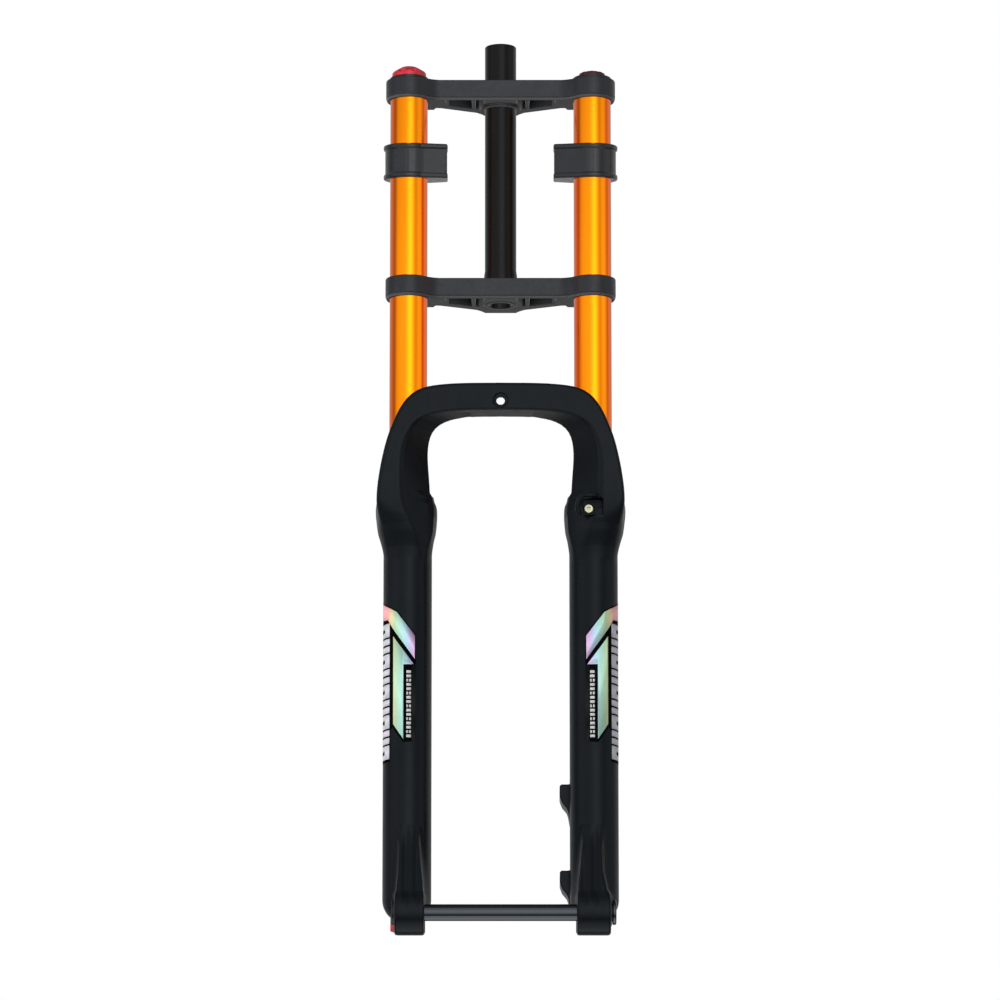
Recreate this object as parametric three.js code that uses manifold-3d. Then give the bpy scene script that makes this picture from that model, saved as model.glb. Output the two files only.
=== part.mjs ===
// A double-crown, air-sprung suspension fork for a 26 inch bicycle wheel.
//
// Millimetres, +Z up along the steerer, -Y forwards, +X to the rider's left.
// The origin is at floor level under the dropouts, in the middle of the footprint.
// The fork stands fully extended. The crowns, stanchions and steerer are one rigid
// group, and the lower casting slides up over the stanchions by TRAVEL.

import * as THREE from 'three';
import { mergeVertices } from 'three/addons/utils/BufferGeometryUtils.js';
import Module from 'manifold-3d';

const wasm = await Module();
wasm.setup();

// ---------------------------------------------------------------- driving sizes

const TRAVEL = 190;
const STANCHION_RADIUS = 17;
const STANCHION_WALL = 1.8;
const LEG_X = 83.5; // from the middle plane to the axis of each leg
const HUB_HALF_WIDTH = 67.5; // the dropouts take a hub 135 mm wide
const AXLE_RADIUS = 7.5;
const STEERER_RADIUS = 14.3;
const STEERER_WALL = 4.3;
const RACE_SEAT_RADIUS = 15; // press fit for the lower headset race
const CROWN_OFFSET = 19.5; // the steerer's axis is this far behind the legs
const AXLE_OFFSET = 28; // the axle is this far ahead of the legs
const DROPOUT_RADIUS = 19.5;
const CROWN_REAR = 46; // the crowns reach this far behind the legs
const BRAKE_POST_SPACING = 74;

// The leg plane is moved so that the footprint is centred on the origin.
const LEG_PLANE_Y = (AXLE_OFFSET + DROPOUT_RADIUS - CROWN_REAR) / 2;

// Heights above the floor.
const AXLE_Z = DROPOUT_RADIUS;
const AXLE_AT = [0, -AXLE_OFFSET, AXLE_Z];
const FOOT_Z = 13.5;
const LEG_FLOOR_Z = 27;
const LOWER_CROWN_Z = 587.5;
const UPPER_CROWN_Z = 774.5;
const CROWN_THICKNESS = 19;
const STEERER_TOP_Z = 832;
const STANCHION_BOTTOM_Z = 236;
const ARCH_TOP_Z = 501;

// Clearances.
const FIT_GAP = 0.1; // between fixed parts that share an axis
const SLIDE_GAP = 0.3; // between parts that slide or turn on each other
const BOTTOM_OUT_GAP = 1; // left between the wipers and the crown at full travel

const LOWER_CROWN_TOP = LOWER_CROWN_Z + CROWN_THICKNESS;
const UPPER_CROWN_TOP = UPPER_CROWN_Z + CROWN_THICKNESS;
const WIPER_TOP_Z = LOWER_CROWN_Z - TRAVEL - BOTTOM_OUT_GAP;
const STANCHION_BORE = STANCHION_RADIUS - STANCHION_WALL;
const STEERER_BORE = STEERER_RADIUS - STEERER_WALL;

// Every round part on a leg's axis has the same number of sides, so that their
// flats line up and the gaps between them stay even.
const LEG_SIDES = 24;
const SMALL_SIDES = 16;

// ---------------------------------------------------------------- materials

const finish = (color, roughness, metalness) => ({ color, roughness, metalness });
const SATIN_BLACK = finish(0x17191c, 0.42, 0.2);
const CROWN_GREY = finish(0x2e3034, 0.48, 0.5);
const STEERER_BLACK = finish(0x101012, 0.4, 0.5);
const GOLD_ANODISED = finish(0xf28c00, 0.22, 0.9);
const RED_ANODISED = finish(0xc01f30, 0.32, 0.7);
const GLOSS_BLACK = finish(0x0c0d10, 0.15, 0.6);
const BLACK_RUBBER = finish(0x1e2022, 0.8, 0);
const BUMPER_GREY = finish(0x2b2e31, 0.6, 0);
const STEEL = finish(0xb8b8b2, 0.3, 1);
const BLACK_STEEL = finish(0x1a1a1c, 0.35, 0.8);
const ALUMINIUM = finish(0xc6c8ca, 0.35, 1);
const BRASS = finish(0xc9a14a, 0.3, 1);
const FOAM = finish(0x3a3a38, 0.95, 0);
const BUSHING_GREEN = finish(0x6b6f5a, 0.55, 0.3);
const RED_RUBBER = finish(0xa83a2c, 0.7, 0);

// ---------------------------------------------------------------- solid tools

const AXES = {
  x: new THREE.Vector3(1, 0, 0),
  y: new THREE.Vector3(0, 1, 0),
  z: new THREE.Vector3(0, 0, 1),
};

// Joins the vertices of a geometry and drops faces that have no area.
function weld(geometry) {
  const bare = new THREE.BufferGeometry();
  bare.setAttribute('position', geometry.getAttribute('position'));
  if (geometry.index) bare.setIndex(geometry.index);
  const welded = mergeVertices(bare, 1e-4);
  const kept = [];
  for (let i = 0; i < welded.index.count; i += 3) {
    const [a, b, c] = [0, 1, 2].map((k) => welded.index.getX(i + k));
    if (a !== b && b !== c && c !== a) kept.push(a, b, c);
  }
  welded.setIndex(kept);
  return welded;
}

function signedVolume(geometry) {
  const corner = [0, 1, 2].map(() => new THREE.Vector3());
  let volume = 0;
  for (let i = 0; i < geometry.index.count; i += 3) {
    corner.forEach((v, k) => v.fromBufferAttribute(geometry.attributes.position, geometry.index.getX(i + k)));
    volume += corner[0].dot(corner[1].clone().cross(corner[2])) / 6;
  }
  return volume;
}

function turnInsideOut(geometry) {
  const index = geometry.index.array;
  for (let i = 0; i < index.length; i += 3) {
    [index[i], index[i + 1]] = [index[i + 1], index[i]];
  }
  return geometry;
}

// Turns a geometry into a manifold solid whose faces point outwards.
function solid(geometry) {
  const welded = weld(geometry);
  if (signedVolume(welded) < 0) turnInsideOut(welded);
  const mesh = new wasm.Mesh({
    numProp: 3,
    vertProperties: new Float32Array(welded.attributes.position.array),
    triVerts: new Uint32Array(welded.index.array),
  });
  return new wasm.Manifold(mesh);
}

function geometryOf(body) {
  const mesh = body.getMesh();
  const geometry = new THREE.BufferGeometry();
  geometry.setAttribute('position', new THREE.BufferAttribute(new Float32Array(mesh.vertProperties), 3));
  geometry.setIndex(Array.from(mesh.triVerts));
  return geometry;
}

const union = (first, ...others) => others.reduce((sum, body) => sum.add(body), first);
const cut = (first, ...others) => others.reduce((left, body) => left.subtract(body), first);

function moved(body, x = 0, y = 0, z = 0) {
  return solid(geometryOf(body).translate(x, y, z));
}

// Moves a body from the Z axis to a place on a circle round it.
const onCircle = (body, radius, angle) =>
  moved(body, radius * Math.cos(angle), radius * Math.sin(angle));

function mirrored(body) {
  const geometry = geometryOf(body);
  geometry.scale(-1, 1, 1);
  return solid(geometry);
}

const bothSides = (body) => union(body, mirrored(body));

// A profile of [radius, height] pairs turned round the Z axis.
function turned(profile, sides = LEG_SIDES) {
  const points = profile.map(([radius, height]) => new THREE.Vector2(radius, height));
  if (points[0].x > 0) points.push(points[0].clone());
  const geometry = new THREE.LatheGeometry(points, sides);
  geometry.rotateX(Math.PI / 2);
  return solid(geometry);
}

// A solid round bar on the Z axis with chamfered ends.
function bar(radius, bottom, top, sides = LEG_SIDES, chamfer = 0) {
  const profile = [[0, bottom]];
  if (chamfer > 0) profile.push([radius - chamfer, bottom]);
  profile.push([radius, bottom + chamfer]);
  profile.push([radius, top - chamfer]);
  if (chamfer > 0) profile.push([radius - chamfer, top]);
  profile.push([0, top]);
  return turned(profile, sides);
}

function ring(inner, outer, bottom, top, sides = LEG_SIDES) {
  return turned([[inner, bottom], [outer, bottom], [outer, top], [inner, top]], sides);
}

// Lays a body that was made along +Z along another axis.
function laid(body, axis) {
  const turn = new THREE.Quaternion().setFromUnitVectors(AXES.z, AXES[axis]);
  return solid(geometryOf(body).applyQuaternion(turn));
}

function barAlong(axis, radius, from, to, at, sides = SMALL_SIDES, chamfer = 0) {
  return moved(laid(bar(radius, from, to, sides, chamfer), axis), ...at);
}

function block(x0, x1, y0, y1, z0, z1) {
  const geometry = new THREE.BoxGeometry(x1 - x0, y1 - y0, z1 - z0);
  geometry.translate((x0 + x1) / 2, (y0 + y1) / 2, (z0 + z1) / 2);
  return solid(geometry);
}

function shapeOf(points) {
  return new THREE.Shape(points.map(([u, v]) => new THREE.Vector2(u, v)));
}

function extruded(shape, depth, bevel = 0, curveSegments = 5) {
  return new THREE.ExtrudeGeometry(shape, {
    depth: depth - 2 * bevel,
    curveSegments,
    bevelEnabled: bevel > 0,
    bevelThickness: bevel,
    bevelSize: bevel,
    bevelOffset: -bevel,
    bevelSegments: 1,
  }).translate(0, 0, bevel);
}

// A shape drawn in X and Y, raised from z0 to z1.
function raised(shape, z0, z1, bevel = 0) {
  return solid(extruded(shape, z1 - z0, bevel).translate(0, 0, z0));
}

// A shape drawn in X and Z, running from y0 back to y1.
function runBack(shape, y0, y1, bevel = 0) {
  const geometry = extruded(shape, y1 - y0, bevel);
  const basis = new THREE.Matrix4().makeBasis(AXES.x, AXES.z, AXES.y.clone().negate());
  return solid(geometry.applyMatrix4(basis).translate(0, y1, 0));
}

// A shape drawn in Y and Z, running from x0 across to x1.
function runAcross(shape, x0, x1, bevel = 0) {
  const geometry = extruded(shape, x1 - x0, bevel);
  const basis = new THREE.Matrix4().makeBasis(AXES.y, AXES.z, AXES.x);
  return solid(geometry.applyMatrix4(basis).translate(x0, 0, 0));
}

// A hexagonal socket, to be cut into a bolt head that was made along +Z.
const hexSocket = (acrossFlats, bottom, top) => bar(acrossFlats / Math.sqrt(3), bottom, top, 6);

// ---------------------------------------------------------------- the assembly

const fork = new THREE.Group();
fork.name = 'suspension_fork';
const middle = new THREE.Group();
middle.position.y = LEG_PLANE_Y;
fork.add(middle);

// Rider's right, with the damper, and rider's left, with the air spring and the brake.
const damperLeg = new THREE.Group();
damperLeg.position.x = -LEG_X;
const airLeg = new THREE.Group();
airLeg.position.x = LEG_X;
middle.add(damperLeg, airLeg);
const LEGS = [
  { name: 'damper', group: damperLeg },
  { name: 'air', group: airLeg },
];

function place(parent, name, body, look) {
  const mesh = new THREE.Mesh(geometryOf(body), new THREE.MeshStandardMaterial(look));
  mesh.name = name;
  parent.add(mesh);
}

// ---------------------------------------------------------------- crowns

const CLAMP_RADIUS = 21;
const CROWN_FRONT = -8; // front face between the clamps
const FRONT_SWEEP = 22; // radius of the curve from that face out to a clamp
const PINCH_X = LEG_X - 15.5; // the slot that lets a clamp close
const PINCH_Y = 20.8;
const SLOT_WIDTH = 1.6;
const CLAMP_BOLT = { shank: 2.5, head: 4, headLength: 4.5, length: 16 };
const EAR = { outer: PINCH_X + 6, inner: PINCH_X - 7, rear: PINCH_Y + 4.6 };

// Right half of a crown in plan, from the middle of the front round to the rear.
function crownHalf() {
  const path = new THREE.Path();
  const reach = CLAMP_RADIUS + FRONT_SWEEP;
  const drop = CROWN_FRONT - FRONT_SWEEP;
  const sweepX = LEG_X - Math.sqrt(reach ** 2 - drop ** 2);
  const meet = Math.atan2(-drop, LEG_X - sweepX);
  path.moveTo(0, CROWN_FRONT);
  path.absarc(sweepX, drop, FRONT_SWEEP, Math.PI / 2, meet, true);
  path.absarc(LEG_X, 0, CLAMP_RADIUS, meet + Math.PI, Math.PI * 2.58, false);
  path.lineTo(EAR.outer, EAR.rear);
  path.lineTo(EAR.inner, EAR.rear);
  path.lineTo(EAR.inner - 2, EAR.rear - 5.9);
  path.lineTo(EAR.inner - 6.5, EAR.rear - 5.4);
  path.lineTo(22, CROWN_REAR - 11);
  path.lineTo(18, CROWN_REAR - 6.5);
  path.lineTo(14, CROWN_REAR);
  return path.getPoints(7);
}

function crownShape() {
  const half = crownHalf();
  const other = half.slice(1).reverse().map((p) => new THREE.Vector2(-p.x, p.y));
  return new THREE.Shape([...half, ...other]);
}

// Two pockets lighten the underside on each side of the steerer.
const POCKET_DEPTH = 13;
const OUTER_POCKET = [[26, -5], [51, -5], [49.5, 6], [47, 12.5], [26, 21.5]];
const INNER_POCKET = [[13.5, -5], [23, -5], [23, 21.5], [19.8, 21.5], [15.5, 8]];

function crownBody(bottom) {
  const top = bottom + CROWN_THICKNESS;
  const [lowChamfer, highChamfer] = [2.2, 0.5];
  const outline = crownShape();
  const lowEdge = raised(outline, bottom, top + 2 * lowChamfer, lowChamfer);
  const highEdge = raised(outline, bottom - 2 * highChamfer, top, highChamfer);
  const squareRear = block(-EAR.outer, EAR.outer, EAR.rear - 9, CROWN_REAR, bottom, top);
  const rear = raised(outline, bottom, top).intersect(squareRear);
  const clampBore = moved(bar(STANCHION_RADIUS + FIT_GAP, bottom - 1, top + 1), LEG_X);
  const slot = block(PINCH_X - SLOT_WIDTH / 2, PINCH_X + SLOT_WIDTH / 2, 4, 30, bottom - 1, top + 1);
  const pockets = [OUTER_POCKET, INNER_POCKET].map((points) =>
    raised(shapeOf(points), bottom - 1, bottom + POCKET_DEPTH));
  const boltHole = clampBoltBody(bottom, 0.2);
  const cuts = [clampBore, slot, boltHole, ...pockets].map(bothSides);
  return cut(lowEdge.intersect(highEdge).add(rear), ...cuts);
}

// A pinch bolt that runs along X behind a clamp, its head on the outer side.
// A positive spare makes the hole for it instead.
function clampBoltBody(bottom, spare = 0) {
  const { shank, head, headLength, length } = CLAMP_BOLT;
  const seat = PINCH_X + 4;
  const reach = spare > 0 ? 15 : headLength;
  const at = [0, PINCH_Y, bottom + CROWN_THICKNESS / 2];
  const screw = union(
    barAlong('x', shank + spare, seat + 0.01 - length, seat + 0.5, at),
    barAlong('x', head + spare, seat, seat + reach, at),
  );
  if (spare > 0) return screw;
  const socket = moved(laid(hexSocket(4, seat + 2, seat + headLength + 1), 'x'), ...at);
  return cut(screw, socket);
}

const STEERER_PINCH_Y = CROWN_OFFSET + STEERER_RADIUS + 4.6;

function steererBoltBody(spare = 0) {
  const { shank, head, headLength } = CLAMP_BOLT;
  const at = [0, STEERER_PINCH_Y, UPPER_CROWN_Z + CROWN_THICKNESS / 2];
  const seat = 8;
  const reach = spare > 0 ? 15 : headLength;
  const screw = union(
    barAlong('x', shank + spare, -11, seat + 0.5, at),
    barAlong('x', head + spare, seat, seat + reach, at),
  );
  if (spare > 0) return screw;
  return cut(screw, moved(laid(hexSocket(4, seat + 2, seat + headLength + 1), 'x'), ...at));
}

function addCrowns() {
  const onSteerer = (body) => moved(body, 0, CROWN_OFFSET);
  const lowerBore = onSteerer(bar(RACE_SEAT_RADIUS + FIT_GAP, LOWER_CROWN_Z - 1, LOWER_CROWN_TOP + 1));
  place(middle, 'lower_crown', cut(crownBody(LOWER_CROWN_Z), lowerBore), CROWN_GREY);

  const [below, above] = [UPPER_CROWN_Z - 5, UPPER_CROWN_TOP + 1];
  const bossDrop = 2.5;
  const boss = onSteerer(ring(10, STEERER_RADIUS + 4, UPPER_CROWN_Z - bossDrop, UPPER_CROWN_Z + 5));
  const upperBore = onSteerer(bar(STEERER_RADIUS + FIT_GAP, below, above));
  const slot = block(-SLOT_WIDTH / 2, SLOT_WIDTH / 2, CROWN_OFFSET, CROWN_REAR + 1, below, above);
  const upper = cut(union(crownBody(UPPER_CROWN_Z), boss), upperBore, slot, steererBoltBody(0.2));
  place(middle, 'upper_crown', upper, CROWN_GREY);
  place(middle, 'steerer_pinch_bolt', steererBoltBody(), BLACK_STEEL);

  for (const [level, bottom] of [['lower', LOWER_CROWN_Z], ['upper', UPPER_CROWN_Z]]) {
    place(middle, `${level}_clamp_bolt_air`, clampBoltBody(bottom), BLACK_STEEL);
    place(middle, `${level}_clamp_bolt_damper`, mirrored(clampBoltBody(bottom)), BLACK_STEEL);
  }
}

function addSteerer() {
  const tube = turned([
    [STEERER_BORE, LOWER_CROWN_Z],
    [RACE_SEAT_RADIUS, LOWER_CROWN_Z],
    [RACE_SEAT_RADIUS, LOWER_CROWN_TOP + 9],
    [STEERER_RADIUS, LOWER_CROWN_TOP + 13],
    [STEERER_RADIUS, STEERER_TOP_Z - 0.8],
    [STEERER_RADIUS - 0.8, STEERER_TOP_Z],
    [STEERER_BORE, STEERER_TOP_Z],
  ]);
  place(middle, 'steerer_tube', moved(tube, 0, CROWN_OFFSET), STEERER_BLACK);
}

// ---------------------------------------------------------------- stanchions

function stanchionBody() {
  return turned([
    [STANCHION_BORE, STANCHION_BOTTOM_Z],
    [STANCHION_RADIUS, STANCHION_BOTTOM_Z],
    [STANCHION_RADIUS, UPPER_CROWN_TOP - 0.6],
    [STANCHION_RADIUS - 0.6, UPPER_CROWN_TOP],
    [STANCHION_BORE, UPPER_CROWN_TOP],
  ]);
}

// A rubber block strapped round a stanchion, which meets the frame at full lock.
// Its lower and upper edges rise a little towards the rear.
const BUMPER = { middle: 716.5, height: 31.3, rim: 4.6, rimRadius: 23, channelRadius: 21.6, tilt: 7 };

// The bumper from above, for a stanchion on the origin: it narrows towards its inner end.
function bumperPad() {
  const [reach, corner] = [35.4, 2.5];
  const [front, rear] = [-15, 11];
  const pad = new THREE.Shape();
  pad.moveTo(0, -BUMPER.channelRadius);
  pad.lineTo(6, -BUMPER.channelRadius + 0.3);
  pad.lineTo(reach - corner, front);
  pad.absarc(reach - corner, front + corner, corner, -Math.PI / 2, 0, false);
  pad.absarc(reach - corner, rear - corner, corner, 0, Math.PI / 2, false);
  pad.lineTo(10, 18.6);
  pad.lineTo(0, BUMPER.channelRadius);
  return pad;
}

function bumperBody(inward) {
  const { middle: level, height, rim, rimRadius, channelRadius, tilt } = BUMPER;
  const half = height / 2;
  const upright = union(
    bar(channelRadius, -half, half),
    bar(rimRadius, -half, rim - half, LEG_SIDES, 0.8),
    bar(rimRadius, half - rim, half, LEG_SIDES, 0.8),
    raised(bumperPad(), -half, half),
  );
  const tilted = moved(upright.rotate([tilt, 0, 0]), 0, 0, level);
  const split = block(-rimRadius - 1, -10, -0.4, 0.4, level - height, level + height);
  const body = cut(tilted, bar(STANCHION_RADIUS + FIT_GAP, level - height, level + height), split);
  return inward < 0 ? mirrored(body) : body;
}

function addStanchions() {
  for (const { name, group } of LEGS) {
    place(group, `stanchion_${name}`, stanchionBody(), GOLD_ANODISED);
    place(group, `frame_bumper_${name}`, bumperBody(name === 'damper' ? 1 : -1), BUMPER_GREY);
  }
}

// ---------------------------------------------------------------- caps and knobs on top

const CAP_PLUG_RADIUS = STANCHION_BORE - FIT_GAP;
const CAP_TOP_Z = UPPER_CROWN_TOP + 3;
const RING_GROOVE = { depth: 1.6, bottom: UPPER_CROWN_TOP - 8, top: UPPER_CROWN_TOP - 5.8 };
const LOCKOUT_ROD_RADIUS = 2.5;
const VALVE_STEM_RADIUS = 5;

// The plug that closes a stanchion, with a groove for its rubber ring.
function capBody(boreRadius, stemTop) {
  const { depth, bottom, top } = RING_GROOVE;
  return turned([
    [boreRadius, UPPER_CROWN_TOP - 22],
    [CAP_PLUG_RADIUS - 1, UPPER_CROWN_TOP - 22],
    [CAP_PLUG_RADIUS, UPPER_CROWN_TOP - 21],
    [CAP_PLUG_RADIUS, bottom],
    [CAP_PLUG_RADIUS - depth, bottom],
    [CAP_PLUG_RADIUS - depth, top],
    [CAP_PLUG_RADIUS, top],
    [CAP_PLUG_RADIUS, UPPER_CROWN_TOP + FIT_GAP],
    [STANCHION_RADIUS + 0.5, UPPER_CROWN_TOP + FIT_GAP],
    [STANCHION_RADIUS + 0.5, CAP_TOP_Z - 0.8],
    [STANCHION_RADIUS - 0.3, CAP_TOP_Z],
    [VALVE_STEM_RADIUS, CAP_TOP_Z],
    [VALVE_STEM_RADIUS, stemTop],
    [boreRadius, stemTop],
  ]);
}

function capRingBody() {
  const { depth, bottom, top } = RING_GROOVE;
  const inner = CAP_PLUG_RADIUS - depth + 0.02;
  return ring(inner, CAP_PLUG_RADIUS + 0.06, bottom + 0.1, top - 0.1);
}

// Three finger scallops round the lockout knob leave a small raised bar between them.
const LOCKOUT_KNOB = { radius: 15.5, bottom: CAP_TOP_Z + SLIDE_GAP, skirtTop: 801, top: 807, crest: 6.4 };

function lockoutKnobBody() {
  const { radius, bottom, skirtTop, top, crest } = LOCKOUT_KNOB;
  const dome = turned([
    [0, bottom],
    [radius - 0.8, bottom],
    [radius, bottom + 0.8],
    [radius, skirtTop - 1.5],
    [radius - 2, skirtTop + 1],
    [crest + 2, top - 1.2],
    [crest, top],
    [0, top],
  ]);
  const recess = bar(VALVE_STEM_RADIUS + SLIDE_GAP, bottom - 1, bottom + 3);
  const rodHole = bar(LOCKOUT_ROD_RADIUS + 0.05, bottom - 1, bottom + 6, SMALL_SIDES);
  const scallops = [0.35, 0.95, 2.2, 2.8, 4.3, 5.1].map((angle) =>
    onCircle(bar(3, skirtTop - 0.5, top + 1, 12), radius - 0.5, angle));
  return cut(dome, recess, rodHole, ...scallops);
}

const VALVE_CAP = { radius: 11.7, bottom: CAP_TOP_Z + SLIDE_GAP, top: 801.2, notches: 12 };

function valveCapBody() {
  const { radius, bottom, top, notches } = VALVE_CAP;
  const body = turned([
    [VALVE_STEM_RADIUS + SLIDE_GAP, bottom],
    [radius - 0.6, bottom],
    [radius, bottom + 0.6],
    [radius, top - 0.8],
    [radius - 0.8, top],
    [radius - 2.6, top],
    [radius - 2.6, top - 1.4],
    [VALVE_STEM_RADIUS + SLIDE_GAP, top - 1.4],
  ]);
  const cutters = Array.from({ length: notches }, (_, i) => {
    const angle = (i + 0.5) * 2 * Math.PI / notches;
    return onCircle(bar(1.1, top - 2, top + 1, 8), radius, angle);
  });
  return cut(body, ...cutters);
}

function valveCapInsertBody() {
  const { radius, top } = VALVE_CAP;
  return turned([
    [0, top - 1.3],
    [radius - 2.7, top - 1.3],
    [radius - 2.7, top],
    [radius - 4.2, top + 1.2],
    [0, top + 1.8],
  ]);
}

const VALVE_BORE = 2.6;
const STEM_TOP_Z = VALVE_CAP.top - 1.6;
const PIN_RADIUS = 0.6;

function addTopCaps() {
  place(damperLeg, 'damper_top_cap', capBody(LOCKOUT_ROD_RADIUS + SLIDE_GAP, CAP_TOP_Z + 2), ALUMINIUM);
  place(airLeg, 'air_top_cap', capBody(VALVE_BORE, STEM_TOP_Z), BLACK_STEEL);
  place(damperLeg, 'damper_cap_ring', capRingBody(), RED_RUBBER);
  place(airLeg, 'air_cap_ring', capRingBody(), RED_RUBBER);
  place(damperLeg, 'lockout_knob', lockoutKnobBody(), RED_ANODISED);
  place(airLeg, 'air_valve_cap', valveCapBody(), RED_ANODISED);
  place(airLeg, 'air_valve_cap_insert', valveCapInsertBody(), SATIN_BLACK);

  const core = ring(PIN_RADIUS + 0.25, VALVE_BORE - 0.05, STEM_TOP_Z - 20, STEM_TOP_Z - 1.8, SMALL_SIDES);
  place(airLeg, 'valve_core', core, BRASS);
  const pin = union(
    bar(PIN_RADIUS, STEM_TOP_Z - 21.6, STEM_TOP_Z - 0.4, 12),
    bar(VALVE_BORE - 0.5, STEM_TOP_Z - 23.6, STEM_TOP_Z - 21.5, 12),
  );
  place(airLeg, 'valve_pin', pin, STEEL);
}

// ---------------------------------------------------------------- inside the stanchions

const ROD_RADIUS = 5;
const SEAL_HEAD = { top: STANCHION_BOTTOM_Z + 22, flange: 4 };
const COMPRESSION_VALVE = { bottom: 700, top: 730, grooveZ: 712, bore: LOCKOUT_ROD_RADIUS + SLIDE_GAP };

function sealHeadBody() {
  const plug = STANCHION_BORE - FIT_GAP;
  const flangeTop = STANCHION_BOTTOM_Z - FIT_GAP;
  const flangeBottom = flangeTop - SEAL_HEAD.flange;
  const bore = ROD_RADIUS + SLIDE_GAP;
  return turned([
    [bore, flangeBottom + 2.6],
    [ROD_RADIUS + 3, flangeBottom + 2.6],
    [ROD_RADIUS + 3, flangeBottom],
    [STANCHION_RADIUS - 0.8, flangeBottom],
    [STANCHION_RADIUS - 0.2, flangeBottom + 0.6],
    [STANCHION_RADIUS - 0.2, flangeTop],
    [plug, flangeTop],
    [plug, SEAL_HEAD.top - 1],
    [plug - 1, SEAL_HEAD.top],
    [bore, SEAL_HEAD.top],
  ]);
}

function rodSealBody() {
  const bottom = STANCHION_BOTTOM_Z - FIT_GAP - SEAL_HEAD.flange;
  return ring(ROD_RADIUS + FIT_GAP, ROD_RADIUS + 2.9, bottom + 0.2, bottom + 2.5, SMALL_SIDES);
}

function compressionDamperBody() {
  const { bottom, top, grooveZ, bore } = COMPRESSION_VALVE;
  const head = STANCHION_BORE - FIT_GAP;
  return turned([
    [bore, bottom + 6],
    [bore + 2, bottom + 6],
    [bore + 2, bottom],
    [head, bottom],
    [head, grooveZ],
    [head - 2, grooveZ],
    [head - 2, grooveZ + 3],
    [head, grooveZ + 3],
    [head, top],
    [7, top + 4],
    [7, UPPER_CROWN_TOP - 22 - FIT_GAP],
    [bore, UPPER_CROWN_TOP - 22 - FIT_GAP],
  ]);
}

function addStanchionInternals() {
  for (const { name, group } of LEGS) {
    place(group, `${name}_seal_head`, sealHeadBody(), ALUMINIUM);
    place(group, `${name}_rod_seal`, rodSealBody(), BLACK_RUBBER);
  }
  place(damperLeg, 'compression_damper', compressionDamperBody(), ALUMINIUM);
  const rod = bar(LOCKOUT_ROD_RADIUS, COMPRESSION_VALVE.bottom + 8, LOCKOUT_KNOB.bottom + 5.5, SMALL_SIDES);
  place(damperLeg, 'lockout_rod', rod, STEEL);
}

// ---------------------------------------------------------------- lower casting

const LEG_RADIUS = 21.8;
const LEG_BORE = 18.6;
const FOOT_RADIUS = 14.5;
const COLLAR = { radius: 26, top: WIPER_TOP_Z - 4.5, bore: 21, floor: WIPER_TOP_Z - 18.5 };
const FOOT_HOLE = 5.4;
const ARCH = { top: ARCH_TOP_Z, front: -42, rear: -12, bottom: 345, webFront: 7.5 };
const CROWN_CLEARANCE = 22.6; // radius kept free round each stanchion, for the crown's clamp
const FENDER_HOLE_Z = 484;
const REBOUND_KNOB = { radius: 14.7, bottom: 7.8, top: FOOT_Z - SLIDE_GAP };

// Leg and collar, round their own axis, open at the top.
function legBody() {
  const heel = new THREE.Path();
  heel.absellipse(LEG_RADIUS - 16, 36, 16, 19, -0.32 * Math.PI, 0, false);
  const heelPoints = heel.getPoints(5).map((p) => [p.x, p.y]);
  const flare = new THREE.CubicBezierCurve(
    new THREE.Vector2(LEG_RADIUS, 356),
    new THREE.Vector2(LEG_RADIUS, 368),
    new THREE.Vector2(COLLAR.radius, 370),
    new THREE.Vector2(COLLAR.radius, 382),
  );
  const flarePoints = flare.getPoints(5).map((p) => [p.x, p.y]);
  return turned([
    [0, FOOT_Z],
    [FOOT_RADIUS - 1, FOOT_Z],
    [FOOT_RADIUS, FOOT_Z + 1],
    ...heelPoints,
    ...flarePoints,
    [COLLAR.radius, COLLAR.top - 1.5],
    [COLLAR.radius - 1.5, COLLAR.top],
    [0, COLLAR.top],
  ]);
}

function legHollow() {
  return turned([
    [0, FOOT_Z - 1],
    [FOOT_HOLE, FOOT_Z - 1],
    [FOOT_HOLE, LEG_FLOOR_Z],
    [LEG_BORE, LEG_FLOOR_Z],
    [LEG_BORE, COLLAR.floor],
    [COLLAR.bore, COLLAR.floor],
    [COLLAR.bore, COLLAR.top + 1],
    [0, COLLAR.top + 1],
  ]);
}

const curvePoints = (points, divisions) => new THREE.SplineCurve(
  points.map(([u, v]) => new THREE.Vector2(u, v))).getPoints(divisions);

// A closed outline from a half outline that starts on the middle plane.
function symmetricShape(half) {
  const other = half.slice(1).reverse().map((p) => new THREE.Vector2(-p.x, p.y));
  return new THREE.Shape([...half, ...other]);
}

// The arch seen from the front.
function archOutline() {
  return symmetricShape(curvePoints([
    [0, ARCH.top], [40, ARCH.top - 0.5], [65, ARCH.top - 3], [84, ARCH.top - 13], [94, 470],
    [103, 446], [109, 418], [111.5, 394], [109, 371], [LEG_X + LEG_RADIUS, ARCH.bottom],
  ], 20));
}

// The arch seen from the side, ahead of the stanchions.
function archSide() {
  const front = curvePoints([
    [-LEG_RADIUS + 1, ARCH.bottom], [-30, 366], [-37.5, 396], [-41, 430],
    [ARCH.front, 474], [ARCH.front + 2, ARCH.top + 1],
  ], 10);
  return new THREE.Shape([
    ...front,
    new THREE.Vector2(ARCH.rear, ARCH.top + 1),
    new THREE.Vector2(ARCH.rear, COLLAR.top + 2),
    new THREE.Vector2(-6, COLLAR.top - 2),
    new THREE.Vector2(-6, ARCH.bottom),
  ]);
}

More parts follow.
